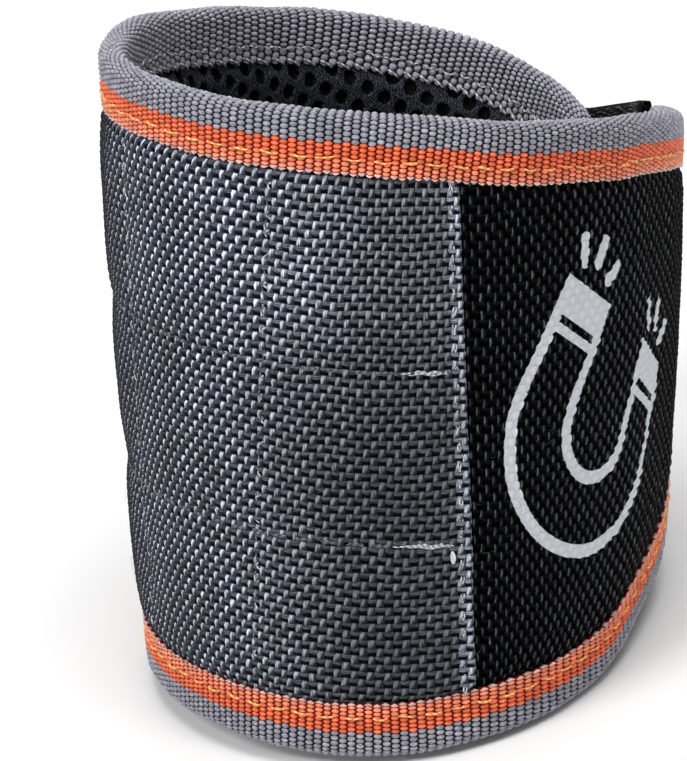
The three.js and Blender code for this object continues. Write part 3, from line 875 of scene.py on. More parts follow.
def edge_tape(name, top, s_from, s_to, per_col=8, per_row=6):
    """The tape folded over an edge, from s_from, where its columns are counted from, to s_to."""
    line = np.linspace(s_from, s_to, 4000)
    z, _ = edge_line(top, line)
    counted = count_columns(top, line, z)
    columns = int(round(counted[-1]))
    col = np.arange(columns * per_col + 1) / per_col
    s_at = np.interp(col, counted, line)
    row = np.arange(ROWS * per_row + 1) / per_row
    t_at = np.interp(row, ROW_B, ROW_T)
    z_edge, n_edge = edge_frame(top, s_at)
    e = np.interp(t_at, SEC_T, SEC_P[:, 0])
    d = np.interp(t_at, SEC_T, SEC_P[:, 1])
    ne = np.interp(t_at, SEC_T, SEC_N[:, 0])
    nd = np.interp(t_at, SEC_T, SEC_N[:, 1])
    C, B = np.meshgrid(col, row, indexing="ij")
    S, T = np.meshgrid(s_at, t_at, indexing="ij")
    h = bead_numbers(C, B)
    rnd = hashed(np.floor(C + 0.5) + 500, B * 1.0 + 40)
    # beads flatten under the seam's thread, and the selvages are thinner
    seam_out = np.exp(-((T - 2.15) / 0.42) ** 2)
    seam_in = np.exp(-((T - (SEC_L - 2.45)) / 0.45) ** 2)
    lift = BEAD_RELIEF * (h - 1) * (0.92 + 0.16 * rnd) - 0.06 * rnd - 0.10 * seam_out - 0.20 * seam_in
    lift = lift * (0.7 + 0.3 * smooth(B, 0.1, 1.2)) + 0.09 * wobble(S, T, 23) + 0.05 * wobble(S, T, 8, 1) - 0.04
    body = 0
    scallop = 0.12 * np.cos(2 * PI * C) * (np.exp(-T / 0.5) + 1.2 * np.exp(-(SEC_L - T) / 0.7))
    wave = 0.10 * wobble(S, 0 * T, 19, 2) + 0.10

    # the fold is fuller where it goes over the root of the tongue
    full = np.exp(-((S - 84.5) / 8.0) ** 4) * smooth(T, SEC_L / 2 - 1.8, SEC_L / 2 + 2.2) * (1 - smooth(T, SEC_L / 2 + 3.0, SEC_L - 1.5)) if top else 0
    left = np.minimum(FLAP_END - S, S - TAIL_END)             # the ends are tucked in
    open_ = 0.10 + 0.90 * np.sqrt(1 - (1 - np.clip(left / 1.7, 0, 1)) ** 2)
    mid = (TAPE_OUT + TAPE_IN) / 2

    def at(out):
        ee = e[None] + ne[None] * out + scallop + wave + 0.5 * (1 - open_) - 0.85 * full
        dd = mid + (d[None] + nd[None] * out - mid) * open_ + 0.80 * full
        return place(S + n_edge[:, None, 0] * ee, z_edge[:, None] + n_edge[:, None, 1] * ee, dd)
    front = at(lift + body)
    back = at(np.minimum(lift, -0.5) - 0.25)
    st = np.stack([C, B, 0 * B], -1)
    flip = (top and s_to < s_from) or (not top and s_to > s_from)
    return slab(name, front, back, st, (per_col, per_row), TAPE, flip=flip)


def end_tape(name, end, inwards, per_col=8, per_row=6):
    """The same tape folded over a padded end, between the two edge tapes."""
    low, high = float(low_edge(end)) + 5.2, float(high_edge(end)) - 5.2
    columns = int(round((high - low) / 1.37))
    col = np.arange(columns * per_col + 1) / per_col
    z_at = low + (high - low) * col / columns
    row = np.arange(ROWS * per_row + 1) / per_row
    t_at = np.interp(row, ROW_B, ROW_T)
    e = np.interp(t_at, SEC_T, SEC_P[:, 0])
    d = np.interp(t_at, SEC_T, SEC_P[:, 1])
    ne = np.interp(t_at, SEC_T, SEC_N[:, 0])
    nd = np.interp(t_at, SEC_T, SEC_N[:, 1])
    C, B = np.meshgrid(col, row, indexing="ij")
    Z, T = np.meshgrid(z_at, t_at, indexing="ij")
    h = bead_numbers(C, B)
    rnd = hashed(np.floor(C + 0.5) + 900, B + 40)
    seam_out = np.exp(-((T - 2.15) / 0.42) ** 2)
    seam_in = np.exp(-((T - (SEC_L - 2.45)) / 0.45) ** 2)
    lift = BEAD_RELIEF * (h - 1) * (0.92 + 0.16 * rnd) - 0.06 * rnd - 0.10 * seam_out - 0.20 * seam_in - 0.3
    # it is sunk where the edge tapes cross it
    lift = lift - 0.60 * (1 - smooth(np.minimum(Z - low, high - Z), 2.9, 4.2))
    scallop = 0.10 * np.cos(2 * PI * C) * (np.exp(-T / 0.5) + 1.2 * np.exp(-(SEC_L - T) / 0.7))

    def at(out):
        ee = e[None] + ne[None] * out + scallop
        return place(end + inwards * ee, Z, d[None] + nd[None] * out)
    front, back = at(lift), at(np.minimum(lift, -0.7) - 0.25)
    return slab(name, front, back, np.stack([C, B, 0 * B], -1), (per_col, per_row), TAPE, flip=inwards > 0)


def across(piece, a, b, start, end):
    """Bakes a piece's placement into its mesh; the bodies a and b and the stations start and end are not used."""
    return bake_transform(piece, a, b, start=Vector(place(start, 47.5, 2.0) * MM), end=Vector(place(end, 47.5, 2.0) * MM))


def on_flap(piece):
    return across(piece, "band", "flap", 74, 94)


def on_tail(piece):
    return across(piece, "band", "tail", -118, -138)


def done(piece, slot, *nodes):
    if nodes:
        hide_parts(*nodes)
    return piece


def band_sheet(s_from, s_to):
    """Works out the band's width between two stations, its widest and its mean times the length, and keeps neither."""
    s = np.linspace(s_from, s_to, 400)
    wide = high_edge(s) - low_edge(s)
    wide.max()
    wide.mean() * abs(s_to - s_from)


top_right = on_flap(edge_tape("top_tape_right", True, SPLIT, FLAP_END))
top_left = on_tail(edge_tape("top_tape_left", True, SPLIT, TAIL_END))
bottom_right = on_flap(edge_tape("bottom_tape_right", False, SPLIT, FLAP_END))
bottom_left = on_tail(edge_tape("bottom_tape_left", False, SPLIT, TAIL_END))
done(top_right, "edge_tape", "top_edge_tape_centre", "top_edge_tape_flap")
done(top_left, "edge_tape", "top_edge_tape_tail")
done(bottom_right, "edge_tape", "bottom_edge_tape_centre", "bottom_edge_tape_flap")
done(bottom_left, "edge_tape", "bottom_edge_tape_tail")
end_outer, end_inner = end_tape("end_tape_outer", FLAP_END, -1), end_tape("end_tape_inner", TAIL_END, 1)
done(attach(end_outer, "flap"), "edge_tape", "end_tape_flap")
done(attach(end_inner, "tail"), "edge_tape", "end_tape_tail")
for piece, length in ((top_right, FLAP_END - SPLIT), (top_left, SPLIT - TAIL_END), (bottom_right, FLAP_END - SPLIT), (bottom_left, SPLIT - TAIL_END),
                      (end_outer, high_edge(FLAP_END) - low_edge(FLAP_END) - 10.4), (end_inner, high_edge(TAIL_END) - low_edge(TAIL_END) - 10.4)):
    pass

# ---------------------------------------------------------------------------------------------
# Woven cloth: the charcoal panel and the black shell
# ---------------------------------------------------------------------------------------------
def ink_mask(s, z):
    """Distance in mm inside the printed shape, a plain horseshoe magnet with rays at its poles."""
    cs, cz, turn, grow = 42.5, 48.4, math.radians(-32), 1.34
    x = ((s - cs) * math.cos(turn) + (z - cz) * math.sin(turn)) / grow
    y = (-(s - cs) * math.sin(turn) + (z - cz) * math.cos(turn)) / grow + 1.6

    def bar(px, py, hx, hy, r=0.3):
        qx, qy = np.abs(px) - hx + r, np.abs(py) - hy + r
        return -(np.hypot(np.maximum(qx, 0), np.maximum(qy, 0)) + np.minimum(np.maximum(qx, qy), 0) - r)
    # an arch of radius 10.2 below y 0 and two legs above it
    arch = np.where(y < 0, 4.8 - np.abs(np.hypot(x, y) - 10.2), 4.8 - np.abs(np.abs(x) - 10.2))
    arch = np.minimum(arch, 11.5 - y)
    outline = np.minimum(arch, 1.5 - arch)                     # a stroke along the rim
    shape = np.maximum(outline, np.minimum(arch, y - 5.4))     # and filled pole faces
    # a thin groove inside each filled pole
    shape = np.minimum(shape, np.maximum(np.abs(y - 6.9) - 0.45, np.abs(np.abs(x) - 10.2) - 3.3))
    for side in (-1, 1):
        for angle in (-34, 0, 34):
            a = math.radians(angle)
            px, py = x - side * 10.2, y - 9.6
            u = px * math.cos(a) - py * math.sin(a)
            w = px * math.sin(a) + py * math.cos(a)
            shape = np.maximum(shape, bar(u, w - 6.1, 0.72, 2.0, 0.7))
    return shape * grow


def cloth(name, weave, s_from, s_to, n_s, n_z, material, extra, inset=5.5, slant=False, ink=False, thick=0.55, edge_depth=0.75):
    """Woven cloth on a lattice in step with its yarns. extra(s, real, z) gives its depth. The lattice is clipped
    under the edge tapes, where nothing shows."""
    w = WEAVES[weave]
    stations, counted = yarn_scale(w)
    x0, x1 = math.floor(np.interp(s_from, stations, counted)), math.ceil(np.interp(s_to, stations, counted))
    y0, y1 = math.floor(2.0 / w["pz"]), math.ceil(93.0 / w["pz"])
    x = x0 + np.arange((x1 - x0) * n_s + 1) / n_s
    y = y0 + np.arange((y1 - y0) * n_z + 1) / n_z
    X, Y = np.meshgrid(x, y, indexing="ij")
    Sn = np.clip(np.interp(X, counted, stations), s_from, s_to)
    Z = Y * w["pz"]
    # yarns wander a little
    inner = smooth(np.minimum(Sn - s_from, s_to - Sn), 0.0, 3.0)
    Sw = Sn + 0.13 * inner * wobble(Z, Sn, 9.0, 1) + 0.05 * inner * wobble(Z, Sn * 3, 3.1, 2)
    Z = Z + 0.16 * wobble(Sn, Z * 0.4, 12.0, 2) + 0.05 * wobble(Sn, Z * 2, 3.7, 1)
    S = slanted(Sw, Z) if slant else Sw
    low, high = low_edge(S), high_edge(S)
    # the blocks whose middle lies inside the tapes' inner halves
    xm, ym = np.interp(x0 + 0.5 + np.arange(x1 - x0), counted, stations), (y0 + 0.5 + np.arange(y1 - y0)) * w["pz"]
    XM, YM = np.meshgrid(xm, ym, indexing="ij")
    real = slanted(XM, YM) if slant else XM
    active = (YM > low_edge(real) + inset) & (YM < high_edge(real) - inset)
    h = weave_numbers(X, Y, w)
    e = np.minimum(Z - low, high - Z)                         # distance from the nearer edge
    under = 1 - smooth(e, 8.3, 10.6)
    depth = extra(Sn, S, Z) * (1 - under) + edge_depth * under
    amount = 1 - 0.5 * under
    if ink:
        ink_or_painted_light = np.clip(ink_mask(S, Z), -1.5, 1.5)
        amount = amount * (1 - 0.62 * smooth(ink_or_painted_light, -0.25, 0.35))
    lift = h * amount + puff(Sn, Z) * (1 - under)
    if ink:
        lift = lift + 0.22 * smooth(ink_or_painted_light, -0.25, 0.35)
    front = place(S, Z, depth - lift + 0.25)
    back = place(S, Z, depth + thick - puff(Sn, Z) * (1 - under) + 0.25)
    if not ink:
        # painted shade and light: the cloth is darker towards the hem and at the left bend, with a painted highlight
        # just inside the hem's rolled edge and painted light high up in the middle
        ink_or_painted_light = (0.25 * np.exp(-((Sn - PANEL_HEM + 0.75) / 0.65) ** 2) + 0.38 - 0.96 * smooth(Sn, -26, 4) * (1.14 - 0.22 * smooth(Z, 50, 70)) * (1 - 0.5 * smooth(Sn, 12.4, 14.2))
                + 0.32 * smooth(Z, 52, 72) * smooth(Sn, -50, -38) * (1 - smooth(Sn, -10, 2))
                - 1.10 * (1 - smooth(Sn, -62, -36)))
    st = np.stack([X, Y, ink_or_painted_light], -1)
    return slab(name, front, back, st, (n_s, n_z), material, active)


def panel_depth(sn, s, z):
    """The panel's own face, its hemmed side edges rolled under."""
    left, right = sn - PANEL_LEFT, PANEL_HEM - sn
    near = np.minimum(left, right)
    roll = 0.9
    x = np.clip((roll - near) / roll, 0, 1)
    return -0.22 * (1 - smooth(near, 2.0, 6.0)) + 1.0 * (1 - np.sqrt(np.maximum(1 - x**2, 0)))


def shell_depth(sn, s, z):
    """The black shell dips under the panel's edges and under the end tapes."""
    under = np.maximum(1 - smooth(sn, PANEL_RIGHT + 0.3, PANEL_RIGHT + 3.4) if np.mean(sn) > 0 else smooth(sn, PANEL_LEFT - 3.4, PANEL_LEFT - 0.3), 0)
    ends = 1 - smooth(np.minimum(FLAP_END - s, s - TAIL_END), 8.3, 10.6)
    return 0.15 + 0.95 * np.maximum(under, 1.05 * ends)


panel = cloth("magnet_panel_cloth", "charcoal", PANEL_LEFT, PANEL_HEM, 6, 5, CHARCOAL, panel_depth, inset=6.5, slant=True)
done(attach(panel, "band"), "charcoal_weave", "magnet_panel")
shell_right = cloth("shell_right_cloth", "black", PANEL_RIGHT - 4, FLAP_END - 6.4, 6, 5, BLACK, shell_depth, slant=True, ink=True)
done(on_flap(shell_right), "black_weave", "outer_shell_centre", "outer_shell_flap")
shell_left = cloth("shell_left_cloth", "black", TAIL_END + 6.4, PANEL_LEFT + 4, 5, 4, BLACK, shell_depth)
done(on_tail(shell_left), "black_weave", "outer_shell_tail")
band_sheet(PANEL_LEFT, PANEL_HEM)
band_sheet(PANEL_RIGHT - 4, FLAP_END - 6.4)
band_sheet(TAIL_END + 6.4, PANEL_LEFT + 4)

# ---------------------------------------------------------------------------------------------
# Air-mesh lining: a hexagonal lattice of round holes
# ---------------------------------------------------------------------------------------------
def lining_depth(s, z):
    zone = np.clip(np.minimum((s - (PANEL_LEFT - 3)) / 3, (PANEL_RIGHT + 3 - s) / 3), 0, 1)
    zone = zone * zone * (3 - 2 * zone)
    end = 1 - smooth(np.minimum(FLAP_END - s, s - TAIL_END), 8.6, 11.6)
    e = np.minimum(z - low_edge(s), high_edge(s) - z)
    under = np.maximum(1 - smooth(e, 8.2, 11.6), end)
    return (4.85 + 0.75 * zone + 0.25 * wobble(s, z, 31, 1)) * (1 - under) + 3.35 * under


LATTICE = np.array([[2.88, 1.52], [-1.60, 2.96]])           # mm from a hole to its two neighbours


def lining(name, s_from, s_to, seg=16):
    r_hole = 1.10
    (ax, az), (bx, bz) = LATTICE
    back_to = np.linalg.inv(LATTICE)
    corners = np.array([[s, z] for s in (s_from, s_to) for z in (0, WIDTH)]) @ back_to
    i0, j0 = np.floor(corners.min(0)).astype(int) - 1
    i1, j1 = np.ceil(corners.max(0)).astype(int) + 1
    I, J = np.meshgrid(np.arange(i0, i1 + 1), np.arange(j0, j1 + 1), indexing="ij")
    centres = np.stack([I.ravel(), J.ravel()], 1) @ LATTICE
    s, z = centres.T
    inside = (z > low_edge(s) + 5.6) & (z < high_edge(s) - 5.6)
    inside &= (s > s_from if s_from == SPLIT else s > s_from + 2.2) & (s <= s_to if s_to == SPLIT else s < s_to - 2.2)
    centres = centres[inside]
    # a cell's outline: four sides of the lattice's square, four points a side
    q = np.arange(4) / 4
    square = np.concatenate([
        np.stack([0.5 + 0 * q, -0.5 + q], 1), np.stack([0.5 - q, 0.5 + 0 * q], 1),
        np.stack([-0.5 + 0 * q, 0.5 - q], 1), np.stack([-0.5 + q, -0.5 + 0 * q], 1),
    ])
    outline = square @ LATTICE
    turn = np.arctan2(outline[:, 1], outline[:, 0])
    circle = np.stack([np.cos(turn), np.sin(turn)], 1)
    rings = [
        (outline, 0.00), (outline * 0.45 + 0.55 * r_hole * 1.30 * circle, 0.10), (1.14 * r_hole * circle, 0.04),
        (1.0 * r_hole * circle, -0.22), (0.95 * r_hole * circle, -1.0),
    ]
    pts = []
    for n, (shape, rise) in enumerate(rings):
        p = centres[:, None] + shape[None]
        if n:
            p = p + 0.09 * np.stack([wobble(p[..., 0], p[..., 1], 5.1, n), wobble(p[..., 1], p[..., 0], 4.3, 2)], -1)
        pts.append(np.concatenate([p, np.full(p.shape[:2] + (1,), rise)], -1))
    centre = np.concatenate([centres, np.full((len(centres), 1), -1.0)], 1)[:, None]
    every = np.concatenate(pts + [centre], 1)             # (cells, 5*seg+1, 3): s, z, rise
    per = every.shape[1]
    flat = every.reshape(-1, 3)
    s, z, rise = flat.T
    base = lining_depth(s, z)
    front = place(s, z, base + rise + 0.05 * wobble(s, z, 2.1, 1) * (rise > -0.1))
    n = len(centres)
    start = (np.arange(n) * per)[:, None, None]
    a = np.arange(seg)
    b = (a + 1) % seg
    faces = []
    for k in range(len(rings) - 1):
        faces.append(np.stack([a + k * seg, a + (k + 1) * seg, b + (k + 1) * seg, b + k * seg], 1))
    quads = (np.concatenate(faces)[None] + start).reshape(-1, 4)
    last = (len(rings) - 1) * seg
    tris = (np.stack([a + last, np.full(seg, per - 1), b + last], 1)[None] + start).reshape(-1, 3)
    # weld the outlines of neighbouring cells
    key = np.round(flat[:, :2] / 0.02).astype(np.int64)
    on_rim = np.zeros(len(flat), bool)
    on_rim.reshape(n, per)[:, :seg] = True
    ident = np.arange(len(flat))
    rim_keys = key[on_rim]
    _, first, inverse = np.unique(rim_keys, axis=0, return_index=True, return_inverse=True)
    rim_ids = ident[on_rim]
    ident[on_rim] = rim_ids[first][inverse.ravel()]
    quads, tris = ident[quads], ident[tris]
    used = np.zeros(len(flat), bool)
    used[quads.ravel()] = True
    used[tris.ravel()] = True
    back_first = len(flat)
    # the back: one face a cell, and a skirt where no neighbour follows
    rim = ident.reshape(n, per)[:, :seg]
    rim_all = np.unique(rim)
    back_id = np.full(len(flat), -1)
    back_id[rim_all] = back_first + np.arange(len(rim_all))
    back_pts = place(s[rim_all], z[rim_all], base[rim_all] - 1.45)
    cells = back_id[rim]
    edges = np.stack([rim, np.roll(rim, -1, 1)], -1).reshape(-1, 2)
    code = edges[:, 0].astype(np.int64) * 10**7 + edges[:, 1]
    rev = edges[:, 1].astype(np.int64) * 10**7 + edges[:, 0]
    lone = edges[~np.isin(code, rev)]
    skirt = np.stack([lone[:, 0], lone[:, 1], back_id[lone[:, 1]], back_id[lone[:, 0]]], 1)
    points = np.concatenate([front, back_pts])
    st = np.stack([s, z, np.maximum(-rise, 0)], 1)
    st = np.concatenate([st, np.stack([s[rim_all], z[rim_all], 0 * rim_all], 1)])
    keep = np.concatenate([used, np.ones(len(rim_all), bool)])
    new = np.cumsum(keep) - 1
    faces = [new[quads], new[tris], new[cells], new[skirt]]
    uv = np.stack([(st[:, 0] - s_from + 4) / (s_to - s_from + 8), st[:, 1] / WIDTH], 1)
    return new_object(name, points[keep], faces, {"st": st[keep]}, uv[keep], [MESH])


lining_right = lining("lining_right_mesh", SPLIT, FLAP_END - 2.5)
done(on_flap(lining_right), "air_mesh", "mesh_lining_centre", "mesh_lining_flap")
lining_left = lining("lining_left_mesh", TAIL_END + 2.5, SPLIT)
done(on_tail(lining_left), "air_mesh", "mesh_lining_tail")
band_sheet(SPLIT, FLAP_END - 5)
band_sheet(TAIL_END + 5, SPLIT)

# ---------------------------------------------------------------------------------------------
# Padding, pocket sheet, magnets
# ---------------------------------------------------------------------------------------------
def pad(name, s_from, s_to, material, outer, inner, step=2.0, inset=11.8, slant=False, crown=0.35, rim=1.2):
    """A soft flat pad, crowned in its middle, with rounded rims."""
    ni = max(4, int(abs(s_to - s_from) / step)) // 2 * 2 + 1
    nj = 37
    s = np.linspace(s_from, s_to, ni)
    v = np.linspace(0, 1, nj)
    S, Q = np.meshgrid(s, v, indexing="ij")
    low, high = low_edge(S) + inset, high_edge(S) - inset
    Z = low + (high - low) * Q
    if slant:
        S = slanted(S, Z)
    near = np.minimum(np.minimum(S - s_from, s_to - S), np.minimum(Z - low, high - Z))
    near = np.clip(near, 0, None)
    x = np.clip(1 - near / rim, 0, 1)
    thin = 1 - np.sqrt(1 - x**2)
    mid, half = (outer + inner) / 2, (inner - outer) / 2
    soft = 0.06 * wobble(S, Z, 11, 1)
    front = place(S, Z, mid - half * (1 - 0.55 * thin) - soft * (near > 0))
    back = place(S, Z, mid + half * (1 - 0.55 * thin))
    return slab(name, front, back, np.stack([S, Z, 0 * S], -1), (2, 2), material)


foam_right = pad("foam_core_right", PANEL_RIGHT + 5, FLAP_END - 11.8, FOAM, 1.35, 3.2)
done(on_flap(foam_right), "foam", "foam_pad_right", "foam_pad_flap")
foam_left = pad("foam_core_left", TAIL_END + 11.8, PANEL_LEFT - 4, FOAM, 1.35, 3.2)
done(on_tail(foam_left), "foam", "foam_pad_left", "foam_pad_tail")
pocket = pad("pocket_cloth", PANEL_LEFT + 1, PANEL_RIGHT - 2, WEBBING, 3.92, 4.12, slant=False)
done(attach(pocket, "band"), "charcoal_weave", "magnet_pocket_sheet")
for name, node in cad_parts.items():
    if name.startswith("magnet_") and name[7] in "abc":
        node.data.materials.clear()
        node.data.materials.append(STEEL)

# ---------------------------------------------------------------------------------------------
# Closure: loop strip on the tail, hook tongue on the flap
# ---------------------------------------------------------------------------------------------
def loop_rows(s):
    return STRAP_LOW + 0 * s, STRAP_HIGH + 0 * s


def tongue_rows(s):
    """The tongue is as wide as the band's end, tapers on and has round corners."""
    left = TONGUE_END - s
    cut = np.where(left < 8, 8 - np.sqrt(np.maximum(64 - (8 - left) ** 2, 0)), 0)
    bow = np.interp(s, (93, 97, 120, 140), (0.85, 0.85, -0.42, 0.0))
    return low_edge(s) + cut, high_edge(s) - cut + bow


def strip(name, s_from, s_to, depth, back_depth, material, ds, dz, height, rows=loop_rows, side=1, block=(4, 4)):
    """A strip of closure tape. side is 1 if its working face looks outwards and -1 if it looks at the wrist."""
    ni = int(round(abs(s_to - s_from) / ds / block[0])) * block[0] + 1
    nj = int(round((STRAP_HIGH - STRAP_LOW) / dz / block[1])) * block[1] + 1
    s, v = np.linspace(s_from, s_to, ni), np.linspace(0, 1, nj)
    S, Q = np.meshgrid(s, v, indexing="ij")
    low, high = rows(S)
    Z = low + (high - low) * Q
    rimward = np.minimum(np.minimum(Q, 1 - Q) * 50, np.minimum(S - s_from, s_to - S))
    x = np.clip(1 - rimward / 0.8, 0, 1)
    rim = 0.35 * (1 - np.sqrt(1 - x**2))
    lift = height(S, Z) - rim
    front = place(S, Z, depth - side * lift)
    back = place(S, Z, back_depth + 0 * S)
    return slab(name, front, back, np.stack([S, Z, 0 * S], -1), block, material, flip=side < 0)


def strewn(n, s_from, s_to, low, high, seed):
    rng = np.random.default_rng(seed)
    return rng, rng.uniform(s_from, s_to, n), rng.uniform(low, high, n)


def pile_loops(name, s_from, s_to, depth, count, seed, material, reach=0.9):
    """Soft loops of pile, each a small arch of fibre that leans its own way."""
    rng, s, z = strewn(count, s_from + 0.5, s_to - 0.5, STRAP_LOW + 0.6, STRAP_HIGH - 0.6, seed)
    a = rng.uniform(0, 2 * PI, count)
    wide, tall = rng.uniform(0.35, 0.8, count), rng.uniform(0.45, 1.0, count) * reach
    lean = rng.uniform(-0.5, 0.5, (count, 2))
    t = np.linspace(0, PI, 6)[None]
    ds = np.cos(a)[:, None] * np.cos(t) * wide[:, None] * 0.5 + lean[:, :1] * np.sin(t)
    dz = np.sin(a)[:, None] * np.cos(t) * wide[:, None] * 0.5 + lean[:, 1:] * np.sin(t)
    up = np.sin(t) * tall[:, None]
    path = place(s[:, None] + ds, z[:, None] + dz, depth - up)
    return tubes(name, path, 0.055, 3, material, caps=False)


def hooks(name, s_from, s_to, depth, material):
    """Rows of small hooks that look at the wrist, every other row turned the other way."""
    rows = np.arange(8.0, 92.0, 0.95)
    cols = np.arange(s_from + 0.6, s_to - 0.8, 1.0)
    S, Z = np.meshgrid(cols, rows, indexing="ij")
    S = S + 0.5 * (np.arange(len(rows)) % 2)[None]
    way = np.where(np.arange(len(rows)) % 2, 1.0, -1.0)[None] + 0 * S
    S, Z, way = S.ravel(), Z.ravel(), way.ravel()
    low, high = tongue_rows(S)
    keep = (Z > low + 0.5) & (Z < high - np.where(S > 125, 0.9, 0.55)) & (s_to - S > 0.9)
    S, Z, way = S[keep], Z[keep], way[keep]
    rng = np.random.default_rng(5)
    tall = rng.uniform(0.62, 0.80, len(S))
    t = np.linspace(0, 1, 7)[None]
    up = np.where(t < 0.5, t * 2 * 0.72, 0.72 + 0.28 * np.sin((t - 0.5) * 2 * PI * 0.85)) * tall[:, None]
    side = np.where(t < 0.5, 0, (1 - np.cos((t - 0.5) * 2 * PI * 0.85)) * 0.22) * way[:, None]
    path = place(S[:, None] + side + rng.normal(0, 0.14, (len(S), 1)), Z[:, None] + rng.normal(0, 0.14, (len(S), 1)) + rng.normal(0, 0.22, (len(S), 1)) * t, depth + up)
    return tubes(name, path, 0.09, 4, material, caps=True)


def pile_height(s, z):
    return 0.20 * wobble(s, z, 1.9) + 0.16 * wobble(z, s, 1.3, 1) + 0.12 * wobble(s, z, 6, 2)


loop_strip = strip("loop_strip", -208, -112, -1.45, -0.5, LOOP, 0.42, 0.42, pile_height)
done(on_tail(loop_strip), "loop_pile", "loop_strip_start", "loop_strip_tail")
loop_fibres = pile_loops("loop_fibres", -208, -112, -1.35, 7800, 21, FIBRE)
done(on_tail(loop_fibres), "loop_pile")


def weave_height(s, z):
    w = WEAVES["webbing"]
    return 0.6 * weave_numbers(s / w["ps"], z / w["pz"], w) - 0.12


def webbing(name, s_from, s_to, depth, back_depth):
    w = WEAVES["webbing"]
    ni, nj = int((s_to - s_from) / w["ps"]) * 4 + 1, int(58 / w["pz"]) * 4 + 1
    S, Q = np.meshgrid(np.linspace(s_from, s_to, ni), np.linspace(0, 1, nj), indexing="ij")
    left = s_to - S
    low, high = tongue_rows(S)
    Z = low + (high - low) * Q
    h = weave_numbers(S / w["ps"], Z / w["pz"], w)
    rimward = np.minimum(np.minimum(Q, 1 - Q) * 50, np.minimum(S - s_from, left))
    rim = 0.30 * (1 - np.sqrt(1 - np.clip(1 - rimward / 0.8, 0, 1) ** 2))
    pressed = 0.55 * (1 - smooth(S, 91, 97))
    front = place(S, Z, depth - 0.6 * h + 0.18 + rim - 0.12 * wobble(S, Z, 27) - pressed)
    back = place(S, Z, back_depth + 0 * S)
    return slab(name, front, back, np.stack([S / w["ps"], Z / w["pz"], 0 * S], -1), (4, 4), WEBBING)


def on_tongue(piece):
    return across(piece, "flap", "tongue", 105.6, 110.6)


TONGUE_ROOT = TONGUE_START - 8.5       # the sewn root reaches past the end tape
tongue = webbing("tongue_webbing", TONGUE_ROOT, TONGUE_END, 5.45, 6.05)
done(on_tongue(tongue), "black_weave", "tongue_backing_root", "tongue_backing")
hook_base = strip("hook_base", TONGUE_ROOT, TONGUE_END, 6.95, 6.35, HOOK, 0.6, 0.6, lambda s, z: 0.05 * wobble(s, z, 1.7), rows=tongue_rows, side=-1)
done(on_tongue(hook_base), "hook_pile", "hook_tape_root", "hook_tape")
hook_rows = hooks("hook_rows", TONGUE_ROOT, TONGUE_END, 6.9, HOOK_FIBRE)
done(on_tongue(hook_rows), "hook_pile")
for piece, beside in ((tongue, ()), (hook_base, (hook_rows,))):
    s = np.linspace(TONGUE_ROOT, TONGUE_END, 400)
    wide = tongue_rows(s)[1] - tongue_rows(s)[0]
    wide.max()
    wide.mean() * (TONGUE_END - TONGUE_ROOT)

# ---------------------------------------------------------------------------------------------
# Stitching
# ---------------------------------------------------------------------------------------------
def stitch_paths(points, length, gap, lift, dip=0.5, n=9, jitter=0.0, wave=0.0, turns=1.0, offset=0.0, uneven=0.0, seed=3):
    """points(t) gives (s, z, d) at a length t along the seam, up to points.total, and the direction across it.
    Returns (k, n, 3) in mm."""
    total = points.total
    k = max(1, int((total + gap) / (length + gap)))
    pitch = total / k
    rng = np.random.default_rng(seed)
    lengths = length * (1 - uneven * rng.uniform(0, 1, k))
    start = np.arange(k) * pitch + (pitch - lengths) / 2 + rng.normal(0, jitter, k)
    q = np.linspace(0, 1, n)[None]
    t = np.clip(start[:, None] + q * lengths[:, None], 0, total)
    s, z, d = points(t)
    arch = 1 - (np.abs(2 * q - 1)) ** 3.2
    d = d - lift * arch * (1 + rng.normal(0, 0.15 + jitter, (k, 1))) + dip * (1 - arch) ** 2
    side = rng.normal(0, jitter * 0.5, (k, 1)) * (2 * q - 1) + rng.normal(0, jitter * 0.35, (k, 1)) + offset
    side = side + wave * np.sin(2 * PI * (turns * q + rng.uniform(0, 0.3, (k, 1))))
    us, uz = points.across
    return place(s + us * side, z + uz * side, d)


class Line:
    def __init__(self, f, total, across=(0.0, 1.0)):
        self.f, self.total, self.across = f, total, across

    def __call__(self, t):
        return self.f(t)


def seam_lift(s, t_sec, inner):
    return 0.09 * wobble(s, t_sec, 23) + 0.05 * wobble(s, t_sec, 8, 1) - (0.24 if inner else 0.14)


def tape_seam(top, inner, s_from, s_to):
    line = np.linspace(s_from, s_to, 3000)
    z, _ = edge_line(top, line)
    run = np.concatenate([[0], np.cumsum(np.hypot(np.diff(line), np.diff(z)))])
    t_sec = SEC_L - 2.45 if inner else 2.15
    e = float(np.interp(t_sec, SEC_T, SEC_P[:, 0]))
    d = float(np.interp(t_sec, SEC_T, SEC_P[:, 1]))
    sign = -1 if inner else 1

    def f(t):
        s = np.interp(t, run, line)
        ze, n = edge_frame(top, s)
        ee = e + 0.10 + 0.10 * wobble(s, 0, 19, 2) + 0.14 * np.sin(s * 0.9) * np.sin(s * 0.23)
        return s + n[..., 0] * ee, ze + n[..., 1] * ee, d - sign * seam_lift(s, t_sec, inner)
    return Line(f, run[-1])


def tape_stitches(name, s_from, s_to, inner, material, seed):
    parts = []
    for top in (True, False):
        seam = tape_seam(top, inner, s_from, s_to)
        if inner:
            q = stitch_paths(seam, 3.1, 0.12, -0.24, dip=-0.22, jitter=0.16, wave=0.16, turns=1.5, uneven=0.30, seed=seed)
        else:
            q = stitch_paths(seam, 2.75, 1.15, 0.07, dip=0.42, jitter=0.13, wave=0.05, uneven=0.22, seed=seed)
        parts.append(q)
    k = sum(len(q) for q in parts)
    radii = np.random.default_rng(seed).uniform(0.8, 1.12, (k, 1)) * (0.15 if inner else 0.175)
    return tubes(name, np.concatenate(parts), radii + np.zeros((1, 9)), 6, material)


